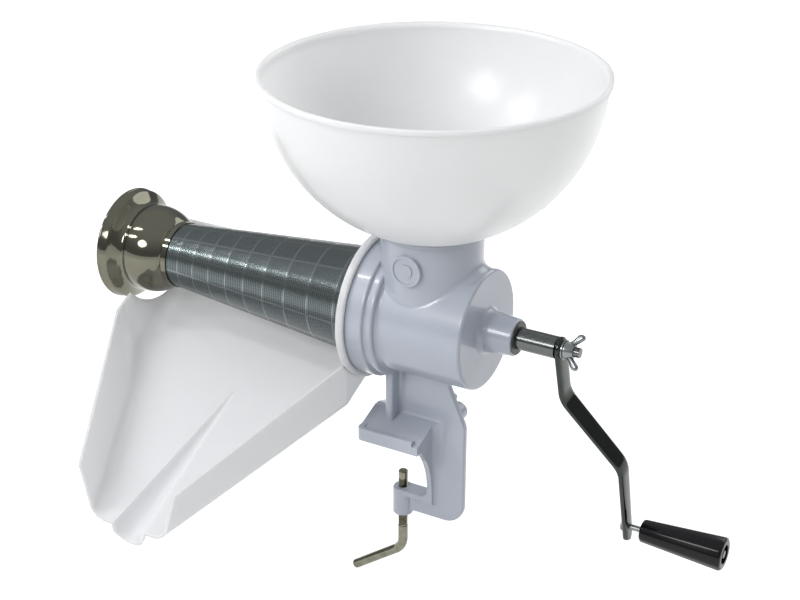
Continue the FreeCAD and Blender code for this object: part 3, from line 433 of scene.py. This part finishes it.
print("a bmesh can be made a piece")

# %% [markdown]
# ## Turning a piece
# The bowl, the ring, the screen, the bell and the nut's hub are round about an axis. Blender's cylinders
# and spheres could be cut and joined to make them. It is simpler to draw a thin outline of the wall, to
# round its corners, and to let bmesh.ops.spin take it once round the axis.

# %% Outlines that are turned
LONGEST_CUT = 0.45


def rounded(points, radius, steps):
    """The same outline with each inner corner cut by an arc of about the given radius."""
    result = [points[0]]
    for before, corner, after in zip(points, points[1:], points[2:]):
        a, b, c = Vector(before), Vector(corner), Vector(after)
        cut = min(radius, (a - b).length * LONGEST_CUT, (c - b).length * LONGEST_CUT)
        start = b + (a - b).normalized() * cut
        end = b + (c - b).normalized() * cut
        for step in range(steps + 1):
            t = step / steps
            result.append(tuple(start * (1 - t) ** 2 + b * 2 * t * (1 - t) + end * t ** 2))
    return result + [points[-1]]


def spun(outline, along, centre, steps):
    """Turn an outline of (distance along the axis, radius) once round the axis."""
    bm = bmesh.new()
    along = Vector(along)
    side = Vector((0, 0, 1)) if abs(along.z) < 0.5 else Vector((1, 0, 0))
    corners = [bm.verts.new(Vector(centre) + along * d + side * r) for d, r in outline]
    for first, second in zip(corners, corners[1:]):
        bm.edges.new((first, second))
    bmesh.ops.spin(bm, geom=bm.verts[:] + bm.edges[:], cent=centre, axis=along, steps=steps,
                   angle=2 * math.pi, use_merge=True)
    return bm


print("outlines can be rounded and turned")

# %% [markdown]
# ## The hopper bowl
# The bowl is half a ball with a rolled rim, and a short pipe below it that drops into the neck. Half a
# sphere with a modifier for its wall would give the ball, but not the rim and the pipe. One closed
# outline of the wall, spun round the hopper's axis, gives all of it, inside and outside.

# %% The bowl
HOPPER_X = 0.0255
BOWL_RADIUS = 0.1325
BOWL_WALL = 0.0024
BOWL_RIM_Z = 0.3182
BALL_ENDS_OUTSIDE = 0.0048
BALL_ENDS_INSIDE = 0.0022
RIM_HEIGHT = 0.0047
RIM_REACH = 0.0024
RIM_UNDERSIDE = 0.0012
RIM_LEDGE = 0.0008
NECK_TOP_Z = 0.1924
SPIGOT_RADIUS = 0.037
SPIGOT_FOOT_Z = 0.1664


def ball(radius, low, high, count=44):
    """Arc of the ball's outline between two depths below the rim."""
    first = math.acos(low / radius)
    last = math.acos(high / radius)
    angles = [first + (last - first) * number / count for number in range(count + 1)]
    return [(-radius * math.cos(angle), radius * math.sin(angle)) for angle in angles]


def bowl_outline():
    outer = ball(BOWL_RADIUS, BOWL_RIM_Z - NECK_TOP_Z, BALL_ENDS_OUTSIDE)
    inner_radius = BOWL_RADIUS - BOWL_WALL
    pipe_radius = SPIGOT_RADIUS - BOWL_WALL
    pipe_top = math.sqrt(inner_radius ** 2 - pipe_radius ** 2)
    inner = ball(inner_radius, pipe_top, BALL_ENDS_INSIDE)
    rim = rounded([outer[-1], (-RIM_HEIGHT, BOWL_RADIUS + RIM_UNDERSIDE),
                   (-RIM_HEIGHT, BOWL_RADIUS + RIM_REACH), (0.0, BOWL_RADIUS + RIM_REACH),
                   (0.0, BOWL_RADIUS - RIM_LEDGE), inner[-1]], 0.0012, 4)
    foot = NECK_TOP_Z - BOWL_RIM_Z
    low = SPIGOT_FOOT_Z - BOWL_RIM_Z
    pipe = rounded([(inner[0][0], pipe_radius), (low, pipe_radius), (low, SPIGOT_RADIUS),
                    (foot, SPIGOT_RADIUS), (foot, outer[0][1])], 0.0008, 3)
    return outer + rim[1:] + inner[::-1][1:] + pipe[1:]


done(spun(bowl_outline(), (0, 0, 1), (HOPPER_X, 0, BOWL_RIM_Z), 128), "bowl", "hopper",
     bowl_white, ["hopper_bowl"])

# %% [markdown]
# ## The tray's ring
# The tray hangs on the housing's flange by a white ring. A cylinder with a hole could be bevelled to
# make it, but its narrow faces leave little room for a bevel. So its section is drawn with its four
# edges already round, and is then spun.

# %% The ring of the tray
RING_BACK = -0.0287
RING_FRONT = -0.022
RING_INSIDE = 0.0578
RING_OUTSIDE = 0.062
RING_ROUND = 0.0021


def ring_outline():
    middle = (RING_BACK + RING_FRONT) / 2
    return rounded([(middle, RING_INSIDE), (RING_BACK, RING_INSIDE), (RING_BACK, RING_OUTSIDE),
                    (RING_FRONT, RING_OUTSIDE), (RING_FRONT, RING_INSIDE), (middle, RING_INSIDE)],
                   RING_ROUND, 6)


done(spun(ring_outline(), (1, 0, 0), AXIS, 128), "tray_ring", "tray", tray_white,
     ["chute_ring"])

# %% [markdown]
# ## The screen
# The screen is a cone of thin sheet with a flat rim that the housing holds. A cone from Blender's menu
# has no thickness, and this one is also seen from its inside through the bell. So the outline goes out
# along one side of the sheet and back along the other.

# %% The screen
SCREEN_START = -0.0257
SCREEN_LENGTH = 0.199
SCREEN_RIM = 0.0545
SCREEN_BIG = 0.0458
SCREEN_SMALL = 0.0275
SHEET = 0.0008


def screen_outline():
    start, end = SCREEN_START, SCREEN_START - SCREEN_LENGTH
    outside = rounded([(start, SCREEN_RIM), (start - SHEET, SCREEN_RIM), (start - SHEET, SCREEN_BIG),
                       (end, SCREEN_SMALL)], 0.0006, 2)
    inside = [(end, SCREEN_SMALL - SHEET), (start, SCREEN_BIG - SHEET), (start, SCREEN_RIM)]
    return outside + inside


done(spun(screen_outline(), (1, 0, 0), AXIS, 128), "screen", "frame", punched,
     ["screen_cone"])

# %% [markdown]
# ## The outlet bell
# The bell at the screen's small end is spun from steel sheet: a dome, a waist and a wide mouth with a
# rolled lip. It could be made of a sphere and a cone, but the real one runs from one form into the next
# in a single curve. So one outline follows that curve, goes round the lip and comes back inside.

# %% The bell
BELL_START = SCREEN_START - SCREEN_LENGTH
BELL_SHEET = 0.0012
BELL_BALL = 0.0386
BELL_LENGTH = 0.051
BELL_FLARE = 0.0476
BELL_BAND = 0.0065
BELL_ROOT = 0.0285
DOME_STEPS = 20
DOME_ENDS_AT = math.radians(102)
# the flare from waist to band: how far along it, and how far out
FLARE_CURVE = ((0.12, 0.005), (0.25, 0.06), (0.5, 0.30), (0.75, 0.66), (0.92, 0.93))
BAND_STEP = 0.0005
LIP_RADIUS = 0.0014


def bell_outline():
    middle = -math.sqrt(BELL_BALL ** 2 - BELL_ROOT ** 2)
    first = math.acos(-middle / BELL_BALL)
    outside = []
    for step in range(DOME_STEPS + 1):
        angle = first + (DOME_ENDS_AT - first) * step / DOME_STEPS
        outside.append((middle + BELL_BALL * math.cos(angle), BELL_BALL * math.sin(angle)))
    waist, waist_radius = outside[-1]
    band = BELL_BAND - BELL_LENGTH
    for share, rise in FLARE_CURVE:
        outside.append((waist + (band - waist) * share,
                        waist_radius + (BELL_FLARE - waist_radius) * rise))
    outside += [(band - BAND_STEP, BELL_FLARE + BAND_STEP), (-BELL_LENGTH, BELL_FLARE + BAND_STEP)]
    lip = [(-BELL_LENGTH - LIP_RADIUS + LIP_RADIUS * math.cos(angle),
            BELL_FLARE + LIP_RADIUS * math.sin(angle))
           for angle in [math.radians(degrees) for degrees in range(30, 330, 30)]]
    inside = [(d, r - BELL_SHEET) for d, r in reversed(outside)]
    inside[-1] = (0.0, BELL_ROOT - 2 * BELL_SHEET)
    return outside + lip + inside + [outside[0]]


done(spun(bell_outline(), (1, 0, 0), (BELL_START, 0, BARREL_Z), 96), "bell", "frame", bell_steel,
     ["outlet_bell", "bell_lip"], 50.0)

# %% [markdown]
# ## Extruding along a line
# The arm, the grip, the thread and the screw's rod each keep one kind of section along a line. A curve
# with a bevel could make them, but its section can't change its form on the way. Here a ring of edges
# is extruded from place to place, and each new ring is moved onto the section that belongs there.

# %% Rings that are extruded
def swept(places):
    """Extrude a closed ring of corners from place to place; each place is a list of points."""
    bm = bmesh.new()
    ring = [bm.verts.new(point) for point in places[0]]
    edges = [bm.edges.new(pair) for pair in zip(ring, ring[1:] + ring[:1])]
    bm.faces.new(ring)
    for points in places[1:]:
        made = bmesh.ops.extrude_edge_only(bm, edges=edges)["geom"]
        old = set(ring)
        follow = {}
        for vert in [item for item in made if isinstance(item, bmesh.types.BMVert)]:
            for edge in vert.link_edges:
                if edge.other_vert(vert) in old:
                    follow[edge.other_vert(vert)] = vert
        ring = [follow[vert] for vert in ring]
        for vert, point in zip(ring, points):
            vert.co = point
        edges = [bm.edges.get(pair) for pair in zip(ring, ring[1:] + ring[:1])]
    bm.faces.new(ring)
    return bm


print("rings can be extruded along a line")

# %% [markdown]
# ## The crank arm
# The arm is a steel strip, bent twice so that the grip stands clear of the barrel. Its edges are rounded
# and its front is slightly crowned. A flat outline could be extruded and bevelled, but a bevel leaves
# the front flat. So a ring with the strip's own section is extruded along the bent middle line. It gets
# narrower towards the grip, and at both ends it shrinks to a half round.

# %% The crank's measures
CRANK_TURN = math.radians(16.0)
ARM_BACK = 0.1369
ARM_THICK = 0.0054
ARM_OUT = 0.0464
ARM_BENDS = (0.050, 0.1145)
ARM_BEND_RADIUS = 0.0085
ARM_END = 0.200
ARM_HALF_TOP = 0.0095
ARM_HALF_END = 0.007
ARM_CORNERS = 40
NARROWEST = 1e-8


def crank_place(x, y, down):
    """A point of the crank: x along the barrel, y across the arm, down from the shaft's axis."""
    c, s = math.cos(CRANK_TURN), math.sin(CRANK_TURN)
    return Vector((x, y * c + down * s, BARREL_Z + y * s - down * c))


print("the arm's end is at", [round(v, 4) for v in crank_place(ARM_BACK + ARM_OUT, 0, ARM_END)])

# %% [markdown]
# ## The arm's strip
# The middle line gets its stations first, closer together at the ends, where the strip's width changes
# quickly. Even steps would be simpler, but they would leave the round ends with corners.

# %% The arm
def arm_stations():
    """Middle line of the arm as (x, down) with round bends, in steps that get finer at the ends."""
    middle = ARM_BACK + ARM_THICK / 2
    line = [(middle, -ARM_HALF_TOP), (middle, ARM_BENDS[0]),
            (middle + ARM_OUT, ARM_BENDS[1]), (middle + ARM_OUT, ARM_END)]
    bends = [Vector(point) for point in rounded(line, ARM_BEND_RADIUS, 8)]
    start = [Vector((middle, -ARM_HALF_TOP * math.cos(math.radians(degrees))))
             for degrees in range(12, 90, 11)]
    end = [Vector((middle + ARM_OUT, ARM_END - ARM_HALF_END * (1 - math.sin(math.radians(degrees)))))
           for degrees in range(10, 90, 10)]
    return start + bends[1:-1] + end


def flattened(share):
    """Turns a circle's sine or cosine into that of a rounded oblong."""
    return math.copysign(abs(share) ** (2 / 3), share)


def arm_ring(here, along):
    """The strip's rounded section at one place of the middle line."""
    down = here.y
    share = max(0.0, min(1.0, down / (ARM_END - ARM_HALF_END)))
    half = ARM_HALF_TOP + (ARM_HALF_END - ARM_HALF_TOP) * share
    if down < 0:
        half = math.sqrt(max(ARM_HALF_TOP ** 2 - down ** 2, NARROWEST))
    low = down - (ARM_END - ARM_HALF_END)
    if low > 0:
        half = math.sqrt(max(ARM_HALF_END ** 2 - low ** 2, NARROWEST))
    normal = Vector((along.y, -along.x))
    ring = []
    for number in range(ARM_CORNERS):
        turn = 2 * math.pi * number / ARM_CORNERS
        place = here + normal * (ARM_THICK / 2) * flattened(math.sin(turn))
        ring.append(crank_place(place.x, half * flattened(math.cos(turn)), place.y))
    return ring


def make_arm():
    line = arm_stations()
    rings = []
    for number, here in enumerate(line):
        along = line[min(number + 1, len(line) - 1)] - line[max(number - 1, 0)]
        rings.append(arm_ring(here, along.normalized()))
    return swept(rings)


done(make_arm(), "arm", "rotor", chrome, ["crank_arm"], 40.0)

# %% [markdown]
# ## The wing nut
# The nut is cast: a round hub that gets narrower, and two thick wings with soft edges. It could be made
# of one block by cutting, but its forms overlap freely, as in the casting. So the hub is spun, and each
# wing is a flat outline that is extruded to its thickness and bevelled all round.

# %% The wing nut
WING_TURN = math.radians(-46.0)
NUT_FOOT = ARM_BACK + ARM_THICK + 0.0012
NUT_HOLE = 0.00406
HUB_FOOT = 0.0070
HUB_TOP = 0.0054
HUB_LENGTH = 0.0080
WING_THICK = 0.0046
WING_BEVEL = 0.0020
# the wing's outline: along the axis, and out from it
WING_OUTLINE = ((0.0022, 0.0035), (0.0022, 0.0062), (0.0050, 0.0085), (0.0072, 0.0120),
                (0.0086, 0.0138), (0.0110, 0.0145), (0.0130, 0.0140), (0.0140, 0.0122),
                (0.0136, 0.0104), (0.0118, 0.0086), (0.0092, 0.0064), (0.0074, 0.0045))


def joined(target, source):
    """Add one bmesh to another through a throwaway mesh."""
    mesh = bpy.data.meshes.new("part")
    source.to_mesh(mesh)
    source.free()
    target.from_mesh(mesh)
    bpy.data.meshes.remove(mesh)


def make_wing(sign):
    bm = bmesh.new()
    corners = [bm.verts.new((x, -WING_THICK / 2, sign * r)) for x, r in WING_OUTLINE]
    face = bm.faces.new(corners)
    made = bmesh.ops.extrude_face_region(bm, geom=[face])["geom"]
    bmesh.ops.translate(bm, verts=[v for v in made if isinstance(v, bmesh.types.BMVert)],
                        vec=(0, WING_THICK, 0))
    rims = [e for e in bm.edges if e.is_manifold and e.calc_face_angle() > math.radians(60)]
    bmesh.ops.bevel(bm, geom=rims, offset=WING_BEVEL, offset_type="OFFSET", affect="EDGES", segments=4,
                    profile=0.5, material=-1)
    bmesh.ops.recalc_face_normals(bm, faces=bm.faces)
    return bm


def make_nut():
    hub = rounded([(0.0, NUT_HOLE), (0.0, HUB_FOOT), (0.0010, HUB_FOOT), (HUB_LENGTH, HUB_TOP),
                   (HUB_LENGTH, NUT_HOLE)], 0.0006, 3)
    nut = spun(hub + [hub[0]], (1, 0, 0), (0, 0, 0), 48)
    for sign in (1, -1):
        joined(nut, make_wing(sign))
    turn = Matrix.Rotation(CRANK_TURN + WING_TURN, 4, "X")
    place = Matrix.Translation((NUT_FOOT, 0, BARREL_Z))
    bmesh.ops.transform(nut, matrix=place @ turn, verts=nut.verts)
    return nut


done(make_nut(), "wing_nut_cast", "rotor", zinc, ["wing_nut"], 40.0)

# %% [markdown]
# ## The grip
# The grip is hard black plastic with twelve flat sides that widen outwards. A cylinder with twelve sides
# would have knife edges and no bore. So its section is a twelve sided ring with eased corners, extruded
# from place to place: over the outside, round the end into the recess, and back through the bore.

# %% The grip
GRIP_AXIS = 0.185
GRIP_START = 0.1993
GRIP_LENGTH = 0.072
GRIP_RADII = (0.010, 0.0145)
GRIP_SIDES = 12
GRIP_SIDE_STEPS = 8
GRIP_ROUND = 0.0025
GRIP_CORNER_FROM = 0.6
GRIP_CORNER_CUT = 0.14
RECESS_MOUTH = 0.0086
RECESS_RADIUS = 0.0080
RECESS_DEPTH = 0.007
BORE_RADIUS = 0.00258


def grip_ring(x, radius, flat):
    """Corners of the grip at one place; flat is 1 for flat sides and 0 for a round bore."""
    half = math.pi / GRIP_SIDES
    count = GRIP_SIDES * GRIP_SIDE_STEPS
    ring = []
    for number in range(count):
        angle = 2 * math.pi * number / count
        side = (angle % (2 * half)) - half
        inner = math.cos(half) / math.cos(side)
        corner = 1 - GRIP_CORNER_CUT * max(0.0, abs(side) / half - GRIP_CORNER_FROM) ** 2
        r = radius * (1 - flat + flat * inner * corner)
        ring.append(crank_place(x, r * math.sin(angle), GRIP_AXIS - r * math.cos(angle)))
    return ring


def grip_edge(x, radius, inwards, degrees):
    """One place on a rounded end; inwards is 1 at the small end and -1 at the big one."""
    angle = math.radians(degrees)
    return (x + inwards * GRIP_ROUND * (1 - math.sin(angle)),
            radius - GRIP_ROUND * (1 - math.cos(angle)), 1)


def make_grip():
    start, end = GRIP_START, GRIP_START + GRIP_LENGTH
    small, big = GRIP_RADII
    places = [(start, small - GRIP_ROUND, 0.7)]
    places += [grip_edge(start, small, 1, degrees) for degrees in range(90, -1, -18)]
    places += [grip_edge(end, big, -1, degrees) for degrees in range(0, 91, 18)]
    places += [(end, RECESS_MOUTH, 0), (end - 0.0005, RECESS_RADIUS, 0),
               (end - RECESS_DEPTH, RECESS_RADIUS, 0), (end - RECESS_DEPTH, BORE_RADIUS, 0),
               (start, BORE_RADIUS, 0)]
    bm = swept([grip_ring(*place) for place in places])
    # open both ends of the long skin and join them, so that the bore runs through
    caps = [face for face in bm.faces if len(face.verts) > 4]
    bmesh.ops.delete(bm, geom=caps, context="FACES_ONLY")
    bmesh.ops.bridge_loops(bm, edges=[edge for edge in bm.edges if edge.is_boundary])
    return bm


done(make_grip(), "faceted_grip", "grip", grip_black, ["grip"], 30.0)

# %% [markdown]
# ## The clamp screw
# The screw is one rod: its upper part has a real thread, its lower part is bent into a handle. A thread
# could be a bump, but it stands out against the white behind it, where a bump stays straight. So a small
# ridge is extruded along a helix round a core, and a round ring is extruded along the bent line.

# %% The clamp screw's measures
SCREW_TOP = -0.0467
THREAD_FOOT = -0.0957
THREAD_PITCH = 0.00125
THREAD_RADIUS = 0.004
THREAD_DEPTH = 0.0008
THREAD_STEPS = 20
# half widths of the ridge at its root and at its crest, in pitches
RIDGE_ROOT = 0.44
RIDGE_CREST = 0.07
PIN_HOLE_RADIUS = 0.00205
PIN_HOLE_DEPTH = 0.0045
CHAMFER = 0.0006
ROD_RADIUS = 0.0042
ROD_BEND = (0.0, -0.118)
ROD_BEND_RADIUS = 0.009
ROD_END = (-0.049, -0.154)
ROD_END_ROUND = 0.0022
ROD_CORNERS = 32
print("the thread has", round((SCREW_TOP - THREAD_FOOT) / THREAD_PITCH, 1), "turns of room")

# %% [markdown]
# ## The screw's core, thread and rod
# The three forms overlap inside the metal, as they would after welding. They could be cut to fit each
# other, but nobody sees the inside, and overlapping forms keep the thread's faces regular.

# %% The clamp screw
def make_core():
    root = THREAD_RADIUS - THREAD_DEPTH
    foot = THREAD_FOOT - 0.001
    return spun([(foot, 0), (foot, root), (SCREW_TOP - CHAMFER, root), (SCREW_TOP, root - CHAMFER),
                 (SCREW_TOP, PIN_HOLE_RADIUS), (SCREW_TOP - PIN_HOLE_DEPTH, PIN_HOLE_RADIUS),
                 (SCREW_TOP - PIN_HOLE_DEPTH, 0)], (0, 0, 1), (0, 0, 0), 32)


def make_thread():
    turns = (SCREW_TOP - THREAD_FOOT - 0.002) / THREAD_PITCH
    base = THREAD_RADIUS - THREAD_DEPTH - 0.0002
    section = [(base, -RIDGE_ROOT), (THREAD_RADIUS, -RIDGE_CREST), (THREAD_RADIUS, RIDGE_CREST),
               (base, RIDGE_ROOT)]
    rings = []
    for number in range(int(turns * THREAD_STEPS) + 1):
        angle = 2 * math.pi * number / THREAD_STEPS
        height = THREAD_FOOT + 0.0006 + THREAD_PITCH * number / THREAD_STEPS
        rings.append([Vector((r * math.cos(angle), r * math.sin(angle), height + share * THREAD_PITCH))
                      for r, share in section])
    return swept(rings)


def rod_places():
    """Middle line of the rod as (x, z) with the rod's radius, eased in at the top and rounded off."""
    line = [Vector(p) for p in rounded([(0.0, THREAD_FOOT), ROD_BEND, ROD_END], ROD_BEND_RADIUS, 12)]
    last = (line[-1] - line[-2]).normalized()
    places = [(line[0], ROD_RADIUS - CHAMFER), (line[0] - Vector((0, CHAMFER)), ROD_RADIUS)]
    places += [(p, ROD_RADIUS) for p in line[1:-1]]
    for degrees in range(0, 86, 12):
        angle = math.radians(degrees)
        places.append((line[-1] - last * ROD_END_ROUND * (1 - math.sin(angle)),
                       ROD_RADIUS - ROD_END_ROUND * (1 - math.cos(angle))))
    return places


def make_rod():
    places = rod_places()
    turns = [2 * math.pi * number / ROD_CORNERS for number in range(ROD_CORNERS)]
    rings = []
    for number, (place, radius) in enumerate(places):
        before = places[max(number - 1, 0)][0]
        after = places[min(number + 1, len(places) - 1)][0]
        along = (after - before).normalized()
        side = Vector((-along.y, along.x))
        rings.append([Vector((place.x + side.x * radius * math.cos(turn), radius * math.sin(turn),
                              place.y + side.y * radius * math.cos(turn))) for turn in turns])
    return swept(rings)


def make_screw():
    bm = make_core()
    for other in (make_thread(), make_rod()):
        bmesh.ops.recalc_face_normals(other, faces=other.faces)
        joined(bm, other)
    return bm


done(make_screw(), "screw_and_handle", "screw", screw_steel, ["clamp_screw"], 40.0)

# %% [markdown]
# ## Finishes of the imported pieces
# The casting, the tray and the small hardware already have their form. They could be modelled again too,
# but nothing would be gained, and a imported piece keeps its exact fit. So they only get a finish.

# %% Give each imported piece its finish
finishes = {
    "housing": enamel, "shaft_bush": dark_nylon, "shaft_seal": rubber, "screen_gasket": rubber,
    "screen_end_band": bell_steel, "chute": tray_white, "drive_shaft": shaft_steel,
    "thrust_washer": nylon, "drive_pin": shaft_steel, "auger": nylon,
    "crank_washer": zinc, "grip_pin": zinc, "grip_washer": chrome, "grip_nut": chrome,
    "clamp_tip": screw_steel,
}
for name, finish in finishes.items():
    mesh = nodes[name].data
    mesh.materials.clear()
    mesh.materials.append(finish)
print("finished", len(finishes), "packed pieces")

# %% [markdown]
# ## The floor
# The photograph has a plain white ground. More light would make a grey floor white, but it would also
# bleach the bowl. So the floor glows a little, and only for the camera and for mirrors, which leaves the
# light on the object as it is. It reaches far, because a near edge would show from low down.

# %% Floor
FLOOR_Z = cad_low[2] - 0.001
FLOOR_REACH = 40.0
FLOOR_GLOW = 0.75


def seen_directly(finish):
    """1 for rays from the camera, from mirrors and through glass, 0 for the light on other things."""
    path = finish.node("ShaderNodeLightPath")
    seen = Wire(finish, path.outputs["Is Camera Ray"])
    for other in ("Is Glossy Ray", "Is Transmission Ray"):
        seen = seen.maths("MAXIMUM", Wire(finish, path.outputs[other]))
    return seen


def floor_finish():
    finish = Finish("floor_white", (0.6, 0.6, 0.6), 0.8)
    cloud = finish.noise(3.0, 2.0)
    finish.set("Base Color", finish.mix(cloud, (0.58, 0.58, 0.58), (0.62, 0.62, 0.62)))
    finish.set("Emission Color", (1.0, 1.0, 1.0, 1.0))
    finish.set("Emission Strength", seen_directly(finish) * FLOOR_GLOW)
    return finish.material


def lay_floor():
    bm = bmesh.new()
    bmesh.ops.create_grid(bm, x_segments=1, y_segments=1, size=FLOOR_REACH,
                          matrix=Matrix.Translation((0, 0, FLOOR_Z)))
    floor = placed(bm, "floor", floor_finish())


lay_floor()
print("floor at", round(FLOOR_Z, 4))

# %% [markdown]
# ## The lamps and the air
# The light in the photograph is soft. One strong lamp would give hard shadows and clip the white
# plastic. So a wide lamp stands in front, a wide dim one behind, and two narrow ones to the left draw
# long highlights on the metal. The air adds light from above that fades towards the horizon, which
# leaves dark parts in polished metal.

# %% Lamps and air
LOW_LIGHT = 0.3
HIGH_LIGHT = 0.72
FADE_HEIGHTS = (0.1, 0.9)
AIR_COLOUR = (0.95, 0.97, 1.0, 1.0)
# name, place, size along the barrel and across it, power in watts
LAMPS = (("key_lamp", (-0.35, -1.75, 1.15), (0.8, 0.6), 13.0),
         ("back_lamp", (0.6, 1.6, 1.0), (1.6, 1.1), 8.0),
         ("left_lamp", (-1.35, -1.15, 1.2), (0.8, 0.14), 8.0),
         ("high_lamp", (-1.2, -0.75, 1.7), (0.8, 0.14), 8.0))


def lamp(name, place, size, power):
    """An oval lamp that faces the barrel, with its long side along it."""
    light = bpy.data.lights.new(name, "AREA")
    light.shape = "ELLIPSE"
    light.size, light.size_y = size
    light.energy = power
    back = (Vector(place) - Vector(AXIS)).normalized()
    side = (Vector((1, 0, 0)) - back * back.x).normalized()
    turn = Matrix((side, back.cross(side), back)).transposed()
    holder = bpy.data.objects.new(name, light)
    holder.matrix_world = Matrix.Translation(place) @ turn.to_4x4()
    bpy.context.scene.collection.objects.link(holder)


def fill_air():
    """Soft light from above that fades towards the horizon."""
    world = bpy.data.worlds.new("air")
    world.use_nodes = True
    air = Net(world.node_tree)
    soft = air.tree.nodes["Background"]
    height = air.axes(air.coordinates("Generated"))[2]
    fade = height.between(*FADE_HEIGHTS)
    air.plug(soft.inputs["Color"], AIR_COLOUR)
    air.plug(soft.inputs["Strength"], LOW_LIGHT + fade * (HIGH_LIGHT - LOW_LIGHT))
    bpy.context.scene.world = world


for settings in LAMPS:
    lamp(*settings)
fill_air()
bpy.context.scene.view_settings.view_transform = "Standard"
print(len(LAMPS), "lamps and the air are lit")
